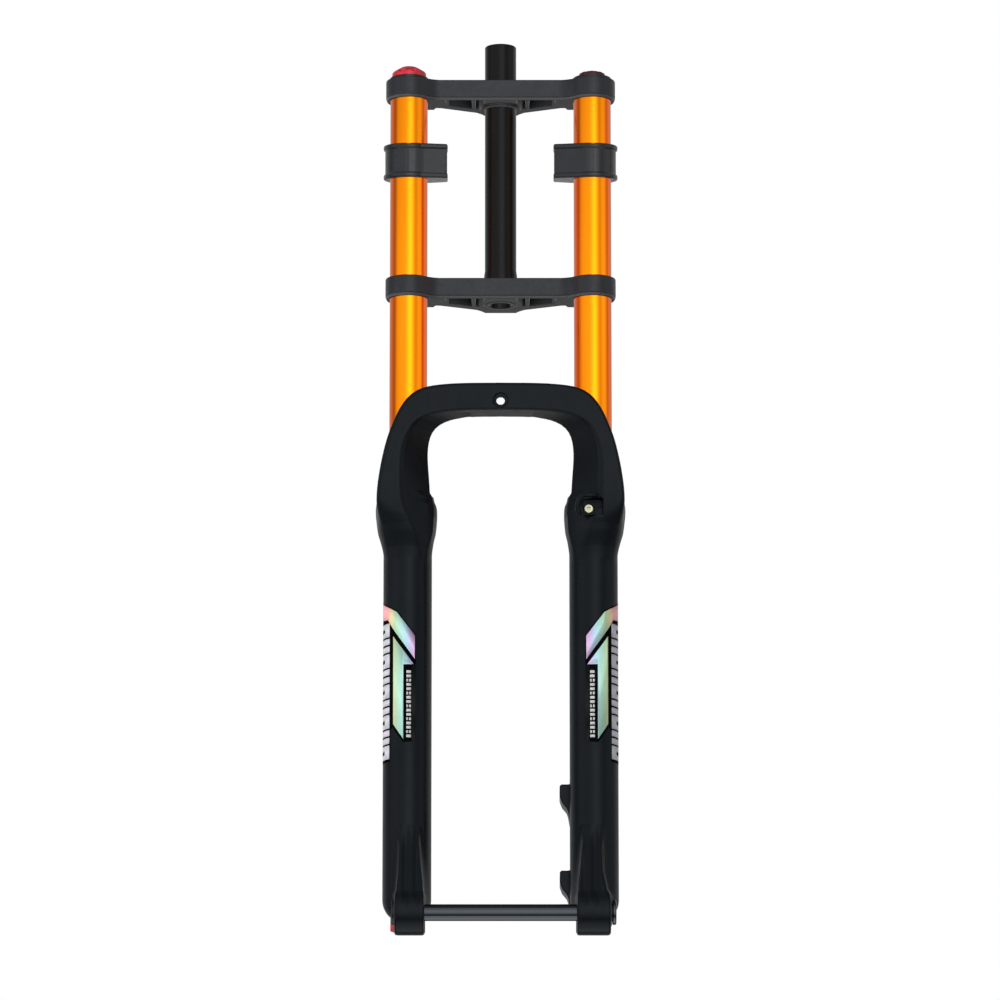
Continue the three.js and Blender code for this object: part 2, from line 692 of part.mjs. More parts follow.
// The wheel opening, which widens towards the front of the arch.
function wheelOpening() {
  const half = curvePoints([
    [0, 475.3], [30, 474.5], [50, 470], [62, 460], [66.6, 442], [64.5, 412], [62, 380], [62, 330],
  ], 18);
  half.push(new THREE.Vector2(0, 330));
  const rearOfTaper = -16;
  const widening = 0.35 / (rearOfTaper - ARCH.front);
  const frontOfTaper = ARCH.front - 6;
  const straight = runBack(symmetricShape(half), rearOfTaper, 10);
  const tapered = geometryOf(runBack(symmetricShape(half), frontOfTaper, rearOfTaper));
  const position = tapered.attributes.position;
  for (let i = 0; i < position.count; i += 1) {
    const ahead = rearOfTaper - position.getY(i);
    position.setX(i, position.getX(i) * (1 + widening * ahead));
  }
  return union(straight, solid(tapered));
}

// Ribs stand between these hollows in the back of the arch.
function archHollows() {
  const pitch = 17;
  const front = ARCH.front + ARCH.webFront;
  return [-2, -1, 0, 1, 2].map((i) => {
    const half = pitch / 2 - 1.2;
    const drop = 1.2 * Math.abs(i);
    const [low, high] = [479.3 - 1.5 * drop, ARCH.top - 3.5 - drop];
    return block(i * pitch - half, i * pitch + half, front, ARCH.rear + 1, low, high);
  });
}

// Cups round the legs that fade the ends of the arch into them.
function archFade() {
  const cup = turned([
    [0, 335], [20.8, 335], [25, 354], [34, 373], [48, 390], [75, 408], [120, 424], [120, 520], [0, 520],
  ]);
  return bothSides(moved(cup, LEG_X));
}

function archBody() {
  const front = runBack(archOutline(), ARCH.front - 1, 0);
  const side = runAcross(archSide(), -115, 115).intersect(archFade());
  const aboveCollar = union(
    bar(COLLAR.radius - 1, COLLAR.top, WIPER_TOP_Z + 0.5),
    bar(CROWN_CLEARANCE, COLLAR.top, ARCH.top + 5),
  );
  const clearance = bothSides(moved(aboveCollar, LEG_X));
  return cut(front.intersect(side), wheelOpening(), clearance, ...archHollows());
}

// Dropout on one side: the axle boss and the rib that carries it down from the leg.
function dropoutBody(outerX) {
  const profile = new THREE.Shape();
  const lean = 0.28; // the rib's front face leans back by this angle
  profile.moveTo(-LEG_RADIUS + 2, 82);
  profile.lineTo(-LEG_RADIUS - 0.5, 80);
  profile.absarc(-AXLE_OFFSET, AXLE_Z, DROPOUT_RADIUS, Math.PI - lean, 1.9 * Math.PI, false);
  profile.lineTo(0, 26);
  profile.lineTo(0, 82);
  const side = runAcross(profile, HUB_HALF_WIDTH, outerX, 1.2);
  const face = shapeOf([
    [HUB_HALF_WIDTH, -1], [outerX, -1], [outerX, 26], [90, 84], [74, 84], [HUB_HALF_WIDTH, 38],
  ]);
  return side.intersect(runBack(face, -50, 5));
}

// A brake post: flat-topped tab behind the leg with a curved underside.
const POST = { x: 62.5, innerX: 52.8, rear: 33.5, front: 7 };

function brakePostBody({ top }) {
  const tab = new THREE.Shape();
  tab.moveTo(78, top);
  tab.lineTo(POST.innerX + 1.5, top);
  tab.lineTo(POST.innerX, top - 1.5);
  tab.lineTo(POST.innerX, top - 11);
  tab.bezierCurveTo(POST.innerX, top - 18, LEG_X - LEG_RADIUS, top - 20, LEG_X - LEG_RADIUS + 1, top - 33);
  tab.lineTo(78, top - 33);
  return runBack(tab, POST.front, POST.rear, 1);
}

const BOLT_TOP_Z = 132;
const BRAKE_POSTS = [
  { bolt: BOLT_TOP_Z, top: BOLT_TOP_Z + 10 },
  { bolt: BOLT_TOP_Z - BRAKE_POST_SPACING, top: BOLT_TOP_Z - BRAKE_POST_SPACING + 5.8 },
];
const HOSE = { x: LEG_X - 4.5, z: 385.2, floorY: -29.5, radius: 8, screwRadius: 3.9 };
const DAMPER_SIDE_OUTER = 93.5;
const AIR_SIDE_OUTER = 97;
const NUT = { sleeve: 10, flange: 11, depth: 14 };

function lowersBody() {
  const legs = bothSides(moved(legBody(), LEG_X));
  const casting = union(
    legs,
    archBody(),
    dropoutBody(AIR_SIDE_OUTER),
    mirrored(dropoutBody(DAMPER_SIDE_OUTER)),
    ...BRAKE_POSTS.map(brakePostBody),
  );
  const bores = bothSides(moved(legHollow(), LEG_X));
  const axleHole = barAlong('x', AXLE_RADIUS + SLIDE_GAP, -120, 120, AXLE_AT, LEG_SIDES);
  const [nutFrom, nutTo] = [-DAMPER_SIDE_OUTER - 1, -DAMPER_SIDE_OUTER + NUT.depth];
  const nutHole = barAlong('x', NUT.sleeve + FIT_GAP, nutFrom, nutTo, AXLE_AT, LEG_SIDES);
  const postHoles = BRAKE_POSTS.map(({ bolt }) =>
    barAlong('y', 2.5, POST.rear - 16, POST.rear + 1, [POST.x, 0, bolt]));
  const fenderHole = union(
    barAlong('y', 3.75, ARCH.front - 5, ARCH.rear, [0, 0, FENDER_HOLE_Z], SMALL_SIDES),
    barAlong('y', 6.75, ARCH.front - 5, ARCH.front + 2.6, [0, 0, FENDER_HOLE_Z], SMALL_SIDES),
  );
  const hosePocket = union(
    barAlong('y', HOSE.radius, -50, HOSE.floorY, [HOSE.x, 0, HOSE.z], SMALL_SIDES),
    barAlong('y', 2, -50, HOSE.floorY + 6, [HOSE.x, 0, HOSE.z], 16),
  );
  const knobRoom = bothSides(moved(bar(REBOUND_KNOB.radius + 0.8, -1, FOOT_Z), LEG_X));
  const wheelGap = block(-HUB_HALF_WIDTH, HUB_HALF_WIDTH, -60, -LEG_RADIUS, -1, 45);
  return cut(casting, wheelGap, knobRoom, bores, axleHole, nutHole, ...postHoles, fenderHole, hosePocket);
}

// ---------------------------------------------------------------- seals, bushings and foam

function wiperBody() {
  const bore = STANCHION_RADIUS + FIT_GAP;
  const seat = COLLAR.bore - FIT_GAP;
  const flangeBottom = COLLAR.top + FIT_GAP;
  return turned([
    [bore + 0.8, COLLAR.top - 7.5],
    [seat, COLLAR.top - 7.5],
    [seat, flangeBottom],
    [COLLAR.radius - 2, flangeBottom],
    [COLLAR.radius - 2, flangeBottom + 1.6],
    [COLLAR.radius - 3.5, flangeBottom + 2.4],
    [bore + 1.6, WIPER_TOP_Z],
    [bore, WIPER_TOP_Z],
    [bore + 0.8, WIPER_TOP_Z - 2],
  ]);
}

function addSeals() {
  const bushings = [['upper', 344, 369], ['lower', 264, 289]];
  for (const { name, group } of LEGS) {
    place(group, `wiper_seal_${name}`, wiperBody(), BLACK_RUBBER);
    const [inner, outer] = [STANCHION_RADIUS + SLIDE_GAP, COLLAR.bore - FIT_GAP];
    const foam = ring(inner, outer, COLLAR.floor + FIT_GAP, COLLAR.top - 7.7);
    place(group, `foam_ring_${name}`, foam, FOAM);
    for (const [level, bottom, top] of bushings) {
      const bush = ring(STANCHION_RADIUS + FIT_GAP, LEG_BORE - FIT_GAP, bottom, top);
      place(group, `${level}_bushing_${name}`, bush, BUSHING_GREEN);
    }
  }
}

// ---------------------------------------------------------------- damper and spring shafts

const PISTON = { radius: STANCHION_BORE - 0.15, bottom: 300, top: 320 };
const NEEDLE_RADIUS = 1.5;
const NUT_RADIUS = 8;

// A piston on the axis, with one groove round it.
function pistonBody(bore) {
  const { radius, bottom, top } = PISTON;
  const grooveTop = bottom + 12;
  return turned([
    [bore, bottom],
    [radius - 1, bottom],
    [radius, bottom + 1],
    [radius, grooveTop - 4],
    [radius - 2, grooveTop - 4],
    [radius - 2, grooveTop],
    [radius, grooveTop],
    [radius, top - 1],
    [radius - 1, top],
    [bore, top],
  ]);
}

function pistonRingBody() {
  const grooveTop = PISTON.bottom + 12;
  return ring(PISTON.radius - 1.9, PISTON.radius + 0.08, grooveTop - 3.9, grooveTop - 0.1);
}

function negativeSpringBody() {
  const [coils, wire, coilRadius] = [6, 1.4, 9.5];
  const [bottom, top] = [SEAL_HEAD.top + 2, PISTON.bottom - 2];
  class Helix extends THREE.Curve {
    getPoint(t, target = new THREE.Vector3()) {
      const angle = t * coils * 2 * Math.PI;
      const height = bottom + (top - bottom) * t;
      return target.set(coilRadius * Math.cos(angle), coilRadius * Math.sin(angle), height);
    }
  }
  const section = new THREE.Shape();
  section.absarc(0, 0, wire, 0, 2 * Math.PI, false);
  const geometry = new THREE.ExtrudeGeometry(section, {
    steps: coils * 10,
    curveSegments: 2,
    extrudePath: new Helix(),
    bevelEnabled: false,
  });
  return solid(geometry);
}

function addDamperShaft() {
  const needleBore = NEEDLE_RADIUS + SLIDE_GAP;
  const rod = turned([
    [needleBore, FOOT_Z - 3.8],
    [ROD_RADIUS, FOOT_Z - 3.8],
    [ROD_RADIUS, LEG_FLOOR_Z + FIT_GAP],
    [ROD_RADIUS + 3, LEG_FLOOR_Z + FIT_GAP],
    [ROD_RADIUS + 3, LEG_FLOOR_Z + 4],
    [ROD_RADIUS, LEG_FLOOR_Z + 5],
    [ROD_RADIUS, PISTON.top + 6],
    [needleBore, PISTON.top + 6],
  ], SMALL_SIDES);
  place(damperLeg, 'damper_rod', rod, STEEL);
  place(damperLeg, 'rebound_piston', pistonBody(ROD_RADIUS + FIT_GAP), ALUMINIUM);
  place(damperLeg, 'rebound_piston_ring', pistonRingBody(), BUSHING_GREEN);
  const pad = ring(ROD_RADIUS + 0.2, 10, PISTON.bottom - 12, PISTON.bottom - 0.3);
  place(damperLeg, 'top_out_bumper', pad, BLACK_RUBBER);
  const nut = cut(
    bar(NUT_RADIUS, FOOT_Z - 3.8, FOOT_Z - FIT_GAP, 6),
    bar(ROD_RADIUS + FIT_GAP, FOOT_Z - 5, FOOT_Z + 1, SMALL_SIDES),
  );
  place(damperLeg, 'damper_foot_nut', nut, BLACK_STEEL);
}

function addReboundKnob() {
  const { radius, bottom, top } = REBOUND_KNOB;
  const disc = bar(radius, bottom, top, LEG_SIDES, 0.7);
  const recess = bar(NUT_RADIUS + 1.2, bottom + 1.4, top + 1);
  const needleHole = bar(NEEDLE_RADIUS + 0.05, bottom - 1, bottom + 3, 12);
  const flutes = Array.from({ length: 16 }, (_, i) => {
    const angle = i * Math.PI / 8;
    return onCircle(bar(1.3, bottom - 1, top + 1, 8), radius + 0.5, angle);
  });
  place(damperLeg, 'rebound_knob', cut(disc, recess, needleHole, ...flutes), RED_ANODISED);
  place(damperLeg, 'rebound_needle', bar(NEEDLE_RADIUS, bottom, PISTON.top, 12), STEEL);
}

function addAirShaft() {
  const threadBore = 3.1;
  const shaft = turned([
    [threadBore, LEG_FLOOR_Z + FIT_GAP],
    [ROD_RADIUS + 3, LEG_FLOOR_Z + FIT_GAP],
    [ROD_RADIUS + 3, LEG_FLOOR_Z + 4],
    [ROD_RADIUS, LEG_FLOOR_Z + 5],
    [ROD_RADIUS, PISTON.top + 6],
    [threadBore, PISTON.top + 6],
  ], SMALL_SIDES);
  place(airLeg, 'air_shaft', shaft, STEEL);
  place(airLeg, 'air_piston', pistonBody(ROD_RADIUS + FIT_GAP), ALUMINIUM);
  place(airLeg, 'air_piston_seal', pistonRingBody(), BLACK_RUBBER);
  place(airLeg, 'negative_spring', negativeSpringBody(), STEEL);
  const stop = ring(ROD_RADIUS + 3.2, 15, LEG_FLOOR_Z + FIT_GAP, LEG_FLOOR_Z + 13);
  place(airLeg, 'bottom_out_bumper', stop, BLACK_RUBBER);
  const bolt = union(
    bar(3, FOOT_Z - 2, LEG_FLOOR_Z + 20, SMALL_SIDES),
    bar(6.5, FOOT_Z - 6.1, FOOT_Z - FIT_GAP - 1.1, SMALL_SIDES, 0.5),
  );
  place(airLeg, 'air_foot_bolt', cut(bolt, hexSocket(5, FOOT_Z - 7, FOOT_Z - 3.5)), BLACK_STEEL);
  place(airLeg, 'air_crush_washer', ring(3.1, 8.5, FOOT_Z - 1.1, FOOT_Z - FIT_GAP, SMALL_SIDES), ALUMINIUM);
}

// ---------------------------------------------------------------- axle and small fittings

const WASHER = { inner: AIR_SIDE_OUTER + SLIDE_GAP, outer: AIR_SIDE_OUTER + 1.5 };
const AXLE_HEAD = { radius: 11, inner: WASHER.outer + SLIDE_GAP, outer: AIR_SIDE_OUTER + 5.5 };
const NUT_OUTER = DAMPER_SIDE_OUTER + 3;

function addAxle() {
  const lay = (body) => moved(laid(body, 'x'), ...AXLE_AT);
  const shaft = union(
    bar(AXLE_RADIUS, -NUT_OUTER + 2, AXLE_HEAD.inner + 0.5, LEG_SIDES, 0.6),
    bar(AXLE_HEAD.radius, AXLE_HEAD.inner, AXLE_HEAD.outer, LEG_SIDES, 1),
  );
  const socket = hexSocket(6, AXLE_HEAD.outer - 3.6, AXLE_HEAD.outer + 1);
  const hollow = bar(4, -NUT_OUTER, AXLE_HEAD.outer - 8, SMALL_SIDES);
  place(middle, 'thru_axle', lay(cut(shaft, socket, hollow)), GLOSS_BLACK);
  const washer = ring(AXLE_RADIUS + SLIDE_GAP, AXLE_HEAD.radius + 0.8, WASHER.inner, WASHER.outer, LEG_SIDES);
  place(middle, 'axle_washer', lay(washer), BLACK_STEEL);
  const nutBore = AXLE_RADIUS + SLIDE_GAP;
  const nut = turned([
    [nutBore, -NUT_OUTER],
    [NUT.flange - 0.8, -NUT_OUTER],
    [NUT.flange, -NUT_OUTER + 0.8],
    [NUT.flange, -DAMPER_SIDE_OUTER - FIT_GAP],
    [NUT.sleeve, -DAMPER_SIDE_OUTER - FIT_GAP],
    [NUT.sleeve, -DAMPER_SIDE_OUTER + NUT.depth - 0.5],
    [nutBore, -DAMPER_SIDE_OUTER + NUT.depth - 0.5],
  ]);
  place(middle, 'axle_nut', lay(nut), BLACK_STEEL);
}

function addHoseGuide() {
  const { x, z, floorY, radius, screwRadius } = HOSE;
  const saddle = new THREE.Shape();
  saddle.moveTo(x - 5, z - 5);
  saddle.lineTo(x + 5.2, z - 5);
  saddle.lineTo(x + 5.2, z + 3);
  saddle.absarc(x, z, 5, 0.6, Math.PI, false);
  const guide = cut(
    runBack(saddle, floorY - 3, floorY - 0.1),
    barAlong('y', 2.2, -60, 0, [x, 0, z], 16),
    barAlong('y', radius * 0.3, -60, floorY - 2, [x + 4, 0, z + 6], 16),
  );
  place(middle, 'hose_guide', guide, SATIN_BLACK);
  const at = [x, 0, z];
  const screw = union(
    barAlong('y', 1.9, floorY - 3.3, floorY + 5.5, at, 16),
    barAlong('y', screwRadius, floorY - 6, floorY - 3.1, at, SMALL_SIDES, 0.5),
  );
  const socket = moved(laid(hexSocket(3, floorY - 7, floorY - 4.4), 'y'), ...at);
  place(middle, 'hose_guide_screw', cut(screw, socket), STEEL);
}

addSteerer();
addCrowns();
addStanchions();
addTopCaps();
addStanchionInternals();
place(middle, 'lowers', lowersBody(), SATIN_BLACK);
addSeals();
addDamperShaft();
addReboundKnob();
addAirShaft();
addAxle();
addHoseGuide();

export default fork;
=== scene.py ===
"""Visual model of a double-crown air suspension fork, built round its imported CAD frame.

The frame is in metres, +Z up, -Y forwards, +X to the rider's left. Shapes are worked out
here in millimetres, from distance fields or turned profiles, and are scaled once when a
mesh is made. In the shape functions y is measured from the plane of the two legs.
"""

import math

import bmesh
import bpy
import numpy as np
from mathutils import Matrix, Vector


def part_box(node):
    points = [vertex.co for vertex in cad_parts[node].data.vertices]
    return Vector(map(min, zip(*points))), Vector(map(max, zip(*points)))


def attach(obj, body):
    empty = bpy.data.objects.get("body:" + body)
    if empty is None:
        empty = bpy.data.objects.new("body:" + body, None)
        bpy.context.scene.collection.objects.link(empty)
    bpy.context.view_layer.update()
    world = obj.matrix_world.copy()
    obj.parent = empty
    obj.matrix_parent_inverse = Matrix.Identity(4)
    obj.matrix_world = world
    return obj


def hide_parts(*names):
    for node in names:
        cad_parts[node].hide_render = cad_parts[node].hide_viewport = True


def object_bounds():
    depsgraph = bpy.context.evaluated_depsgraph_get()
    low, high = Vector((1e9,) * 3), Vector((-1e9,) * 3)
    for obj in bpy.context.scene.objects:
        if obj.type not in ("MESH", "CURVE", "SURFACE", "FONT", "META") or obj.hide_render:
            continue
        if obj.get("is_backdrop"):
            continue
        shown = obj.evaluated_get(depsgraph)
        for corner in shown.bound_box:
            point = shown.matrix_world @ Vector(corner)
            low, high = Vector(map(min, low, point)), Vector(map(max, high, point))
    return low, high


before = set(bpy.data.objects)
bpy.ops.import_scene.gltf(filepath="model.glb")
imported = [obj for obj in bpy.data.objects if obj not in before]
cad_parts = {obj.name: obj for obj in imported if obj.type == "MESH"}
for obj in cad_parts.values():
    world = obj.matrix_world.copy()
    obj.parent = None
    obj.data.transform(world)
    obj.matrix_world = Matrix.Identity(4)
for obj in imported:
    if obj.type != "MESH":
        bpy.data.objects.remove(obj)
CAD_LOW, CAD_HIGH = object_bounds()
MM = 0.001

# ------------------------------------------------------------------ driving sizes


def span(node, axis):
    """Low and high limit of a CAD node along one axis, in millimetres."""
    low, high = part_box(node)
    return low[axis] / MM, high[axis] / MM


def middle(node, axis):
    """Middle of a CAD node along one axis."""
    return sum(span(node, axis)) / 2


def radius_of(node):
    """Radius of an upright round CAD node."""
    low, high = span(node, 0)
    return (high - low) / 2


LEGS = {"damper": -1, "air": 1}
LEG_X = middle("stanchion_air", 0)
LEG_Y = middle("stanchion_air", 1)
TUBE_RADIUS = radius_of("stanchion_air")
AXLE_Y = middle("thru_axle", 1) - LEG_Y
AXLE_Z = middle("thru_axle", 2)
STEERER_Y = middle("steerer_tube", 1) - LEG_Y
STEERER_RADIUS = 14.3
STEERER_BORE = 10
LOWER_CROWN = span("lower_crown", 2)
CROWN_SPACING = 187
UPPER_CROWN = (LOWER_CROWN[0] + CROWN_SPACING, LOWER_CROWN[1] + CROWN_SPACING)
WIPER_TOP = span("wiper_seal_air", 2)[1]
LEG_RADIUS = 21.8
HUB_HALF = 67.5
DAMPER_BOSS_X = 93.5
AIR_BOSS_X = 97
DROPOUT_RADIUS = AXLE_Z
AXLE_RADIUS = 7.5
FOOT_Z = 13.5

# ------------------------------------------------------------------ distance fields


def soft_min(a, b, blend):
    """Union of two fields with a fillet about as wide as blend."""
    overlap = np.maximum(blend - np.abs(a - b), 0) / blend
    return np.minimum(a, b) - overlap * overlap * blend / 4


def soft_max(a, b, blend):
    """Intersection of two fields with a rounded edge."""
    return -soft_min(-a, -b, blend)


def carve(body, tool, blend=0.8):
    """The body with the tool cut out of it."""
    return soft_max(body, -tool, blend)


def slab(w, low, high):
    """Everything between two planes."""
    return np.abs(w - (low + high) / 2) - (high - low) / 2


def outline(points, u, v):
    """Signed distance from (u, v) to a closed polygon, negative inside it."""
    shape = np.broadcast_shapes(np.shape(u), np.shape(v))
    nearest = np.full(shape, 1e12)
    inside = np.zeros(shape, bool)
    points = np.asarray(points, float)
    for (ax, ay), (bx, by) in zip(points, np.roll(points, -1, 0)):
        ex, ey = bx - ax, by - ay
        if ex * ex + ey * ey < 1e-12:
            continue
        wu, wv = u - ax, v - ay
        t = np.clip((wu * ex + wv * ey) / (ex * ex + ey * ey), 0, 1)
        nearest = np.minimum(nearest, (wu - ex * t) ** 2 + (wv - ey * t) ** 2)
        if abs(ey) > 1e-9:
            crosses = ((ay > v) != (by > v)) & (wu < ex * wv / ey)
            inside ^= crosses
    return np.where(inside, -1.0, 1.0) * np.sqrt(nearest)


def rod(u, v, w, radius, low, high, edge=0.8):
    """A round bar along w with softened ends."""
    return soft_max(np.hypot(u, v) - radius, slab(w, low, high), edge)


def box_field(x, y, z, low, high, edge=0.8):
    """A box between two corners, with softened edges."""
    body = slab(x, low[0], high[0])
    body = soft_max(body, slab(y, low[1], high[1]), edge)
    return soft_max(body, slab(z, low[2], high[2]), edge)


def hexagon(u, v, across):
    """Distance to a hexagon of this width across its flats."""
    third = math.pi / 3
    faces = [u * math.cos(i * third) + v * math.sin(i * third) for i in range(3)]
    return np.maximum.reduce([np.abs(face) for face in faces]) - across / 2


# ------------------------------------------------------------------ curves


def arc(cx, cy, radius, start, end, count):
    """Points on an arc, its angles in degrees."""
    angles = np.radians(np.linspace(start, end, count))
    return [(cx + radius * math.cos(a), cy + radius * math.sin(a)) for a in angles]


def through(points, count):
    """A smooth curve through a few points, as count points evenly spread along it."""
    points = np.asarray(points, float)
    ends = [2 * points[0] - points[1], *points, 2 * points[-1] - points[-2]]
    curve = []
    for p0, p1, p2, p3 in zip(ends, ends[1:], ends[2:], ends[3:]):
        for t in np.linspace(0, 1, 12, endpoint=False):
            bend = (2 * p0 - 5 * p1 + 4 * p2 - p3) * t * t + (3 * p1 - 3 * p2 + p3 - p0) * t**3
            curve.append(0.5 * (2 * p1 + (p2 - p0) * t + bend))
    curve = np.array([*curve, points[-1]])
    length = np.r_[0, np.cumsum(np.linalg.norm(np.diff(curve, axis=0), axis=1))]
    at = np.linspace(0, length[-1], count)
    return [(float(u), float(v)) for u, v in zip(*(np.interp(at, length, c) for c in curve.T))]


def mirrored(half):
    """A closed symmetric outline from a half that starts and ends on the middle line."""
    return [*half, *[(-u, v) for u, v in reversed(half) if u > 1e-6]]


# ------------------------------------------------------------------ meshing


def lines(*spans):
    """Grid lines from (low, high, step) spans laid end to end."""
    kept = []
    for low, high, step in spans:
        kept.extend(np.linspace(low, high, max(2, round((high - low) / step) + 1)))
    return np.unique(np.round(kept, 6))


def in_chunks(field, points, size=30000):
    """Field values at loose points, taken in order of height so that far features are skipped."""
    order = np.argsort(points[:, 2])
    values = np.empty(len(points))
    for start in range(0, len(points), size):
        part = order[start : start + size]
        values[part] = field(*points[part].T)
    return values


CORNERS = np.array([[1, -1, -1], [-1, -1, 1], [-1, 1, -1], [1, 1, 1]], float)


def slopes(field, points, reach=0.05):
    """Unit normals of a field at loose points."""
    total = sum(c * in_chunks(field, points + c * reach)[:, None] for c in CORNERS)
    return total / np.maximum(np.linalg.norm(total, axis=1, keepdims=True), 1e-12)


def contour(field, xs, ys, zs):
    """The field's zero surface as vertices and four-sided faces, with its sharp edges kept."""
    values = np.empty((len(xs), len(ys), len(zs)), np.float32)
    for start in range(0, len(zs), 16):
        part = slice(start, start + 16)
        values[:, :, part] = field(xs[:, None, None], ys[None, :, None], zs[None, None, part])
    inside = values < 0
    grid = (xs, ys, zs)
    counts = np.array(values.shape)
    edge_points, edge_cells = [], []
    for axis in range(3):
        first = [slice(None)] * 3
        second = [slice(None)] * 3
        first[axis], second[axis] = slice(None, -1), slice(1, None)
        start = np.argwhere(inside[tuple(first)] != inside[tuple(second)])
        u, w = (axis + 1) % 3, (axis + 2) % 3
        kept = (start[:, u] > 0) & (start[:, w] > 0)
        kept &= (start[:, u] < counts[u] - 1) & (start[:, w] < counts[w] - 1)
        start = start[kept]
        end = start.copy()
        end[:, axis] += 1
        a, b = values[tuple(start.T)], values[tuple(end.T)]
        point = np.stack([grid[k][start[:, k]] for k in range(3)], 1).astype(float)
        step = grid[axis][end[:, axis]] - grid[axis][start[:, axis]]
        point[:, axis] += step * a / (a - b)
        around = []
        for du, dw in ((0, 0), (-1, 0), (-1, -1), (0, -1)):
            cell = start.copy()
            cell[:, u] += du
            cell[:, w] += dw
            around.append(np.ravel_multi_index(tuple(cell.T), tuple(counts - 1)))
        around = np.stack(around, 1)
        around[a > b] = around[a > b][:, ::-1]
        edge_points.append(point)
        edge_cells.append(around)
    points = np.concatenate(edge_points)
    cells = np.concatenate(edge_cells)
    cell_ids, faces = np.unique(cells, return_inverse=True)
    faces = faces.reshape(-1, 4)
    normals = slopes(field, points)

    flat = faces.ravel()
    many = len(cell_ids)

    def gather(weights):
        return np.bincount(flat, np.repeat(weights, 4), many)

    hits = np.bincount(flat, minlength=many).astype(float)
    centre = np.stack([gather(points[:, k]) for k in range(3)], 1) / hits[:, None]
    matrix = np.zeros((many, 3, 3))
    target = np.zeros((many, 3))
    offset = np.einsum("ij,ij->i", normals, points)
    for i in range(3):
        target[:, i] = gather(normals[:, i] * offset)
        for j in range(3):
            matrix[:, i, j] = gather(normals[:, i] * normals[:, j])
    target -= np.einsum("nij,nj->ni", matrix, centre)
    matrix += np.eye(3) * 0.04 * hits[:, None, None]
    shift = np.linalg.solve(matrix, target[:, :, None])[:, :, 0]
    index = np.stack(np.unravel_index(cell_ids, tuple(counts - 1)), 1)
    low = np.stack([grid[k][index[:, k]] for k in range(3)], 1)
    high = np.stack([grid[k][index[:, k] + 1] for k in range(3)], 1)
    return np.clip(centre + shift, low, high), faces


def corner_normals(field, vertices, faces):
    """The field's normal just inside each corner of each face, so that edges shade crisply."""
    corners = vertices[faces]
    towards = corners.mean(1, keepdims=True)
    sample = corners + (towards - corners) * 0.3
    return slopes(field, sample.reshape(-1, 3)).reshape(-1, 3)


def to_frame(points):
    """Millimetres about the leg plane to metres in the frame."""
    return (np.asarray(points, float) + (0, LEG_Y, 0)) * MM


def placed(name, data):
    """A new object in the scene that shows this data."""
    made = bpy.data.objects.new(name, data)
    bpy.context.scene.collection.objects.link(made)
    return made


def new_object(name, vertices, faces, material, body):
    """Makes an object from frame positions, gives it a look and lets it ride on a body."""
    mesh = bpy.data.meshes.new(name)
    mesh.from_pydata(np.asarray(vertices).tolist(), [], np.asarray(faces).tolist())
    mesh.materials.append(material)
    mesh.shade_smooth()
    made = placed(name, mesh)
    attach(made, body)
    return made


def sculpt(node, field, grid, material, body, name=None):
    """A piece made from a distance field, which stands for one CAD node."""
    vertices, faces = contour(field, *grid)
    made = new_object(name or f"{node}_cut", to_frame(vertices), faces, material, body)
    made.data.normals_split_custom_set(corner_normals(field, vertices, faces))
    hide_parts(node)
    return made


SHARP_ANGLE = math.radians(32)
STRAIGHT_ANGLE = 2.9


def softened(profile, edge):
    """A turned profile with each outer corner rounded off by up to edge."""
    points = [Vector(p) for p in profile]
    kept = []
    for before, here, after in zip([points[-1], *points[:-1]], points, [*points[1:], points[0]]):
        if here.x < 1e-6 or edge <= 0:
            kept.append(tuple(here))
            continue
        back, on = before - here, after - here
        if back.angle(on, math.pi) > STRAIGHT_ANGLE:
            kept.append(tuple(here))
            continue
        reach = min(edge, back.length * 0.4, on.length * 0.4)
        start, end = here + back.normalized() * reach, here + on.normalized() * reach
        for t in (0, 0.33, 0.67, 1):
            kept.append(tuple(start * (1 - t) ** 2 + here * 2 * t * (1 - t) + end * t * t))
    return kept


def turn(node, profile, material, body, edge=0.3, sides=96, at=(0, 0, 0), axis="z"):
    """A piece turned from (radius, height) pairs about an axis through at. It stands for a CAD node."""
    rim = softened(profile, edge)
    angles = np.arange(sides) * 2 * math.pi / sides
    radius = np.array([p[0] for p in rim])[:, None]
    height = np.array([p[1] for p in rim])[:, None] + 0 * angles
    u, v = radius * np.cos(angles), radius * np.sin(angles)
    stack = {"z": (u, v, height), "x": (height, u, v), "y": (v, height, u)}[axis]
    vertices = np.stack(stack, -1).reshape(-1, 3) + np.asarray(at, float)
    count = len(rim)
    faces = []
    for i in range(count):
        j = (i + 1) % count
        if radius[i, 0] < 1e-6 and radius[j, 0] < 1e-6:
            continue
        for k in range(sides):
            m = (k + 1) % sides
            faces.append((i * sides + k, i * sides + m, j * sides + m, j * sides + k))
    made = new_object(f"{node}_turned", to_frame(vertices), faces, material, body)
    merged = bmesh.new()
    merged.from_mesh(made.data)
    bmesh.ops.remove_doubles(merged, verts=merged.verts, dist=1e-7)
    bmesh.ops.dissolve_degenerate(merged, edges=merged.edges, dist=1e-8)
    bmesh.ops.recalc_face_normals(merged, faces=merged.faces)
    merged.to_mesh(made.data)
    merged.free()
    made.data.shade_smooth()
    made.data.set_sharp_from_angle(angle=SHARP_ANGLE)
    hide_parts(node)
    return made


def tube(inner, outer, bottom, top):
    """Profile of a plain ring or tube."""
    return [(inner, bottom), (outer, bottom), (outer, top), (inner, top)]


# ------------------------------------------------------------------ looks


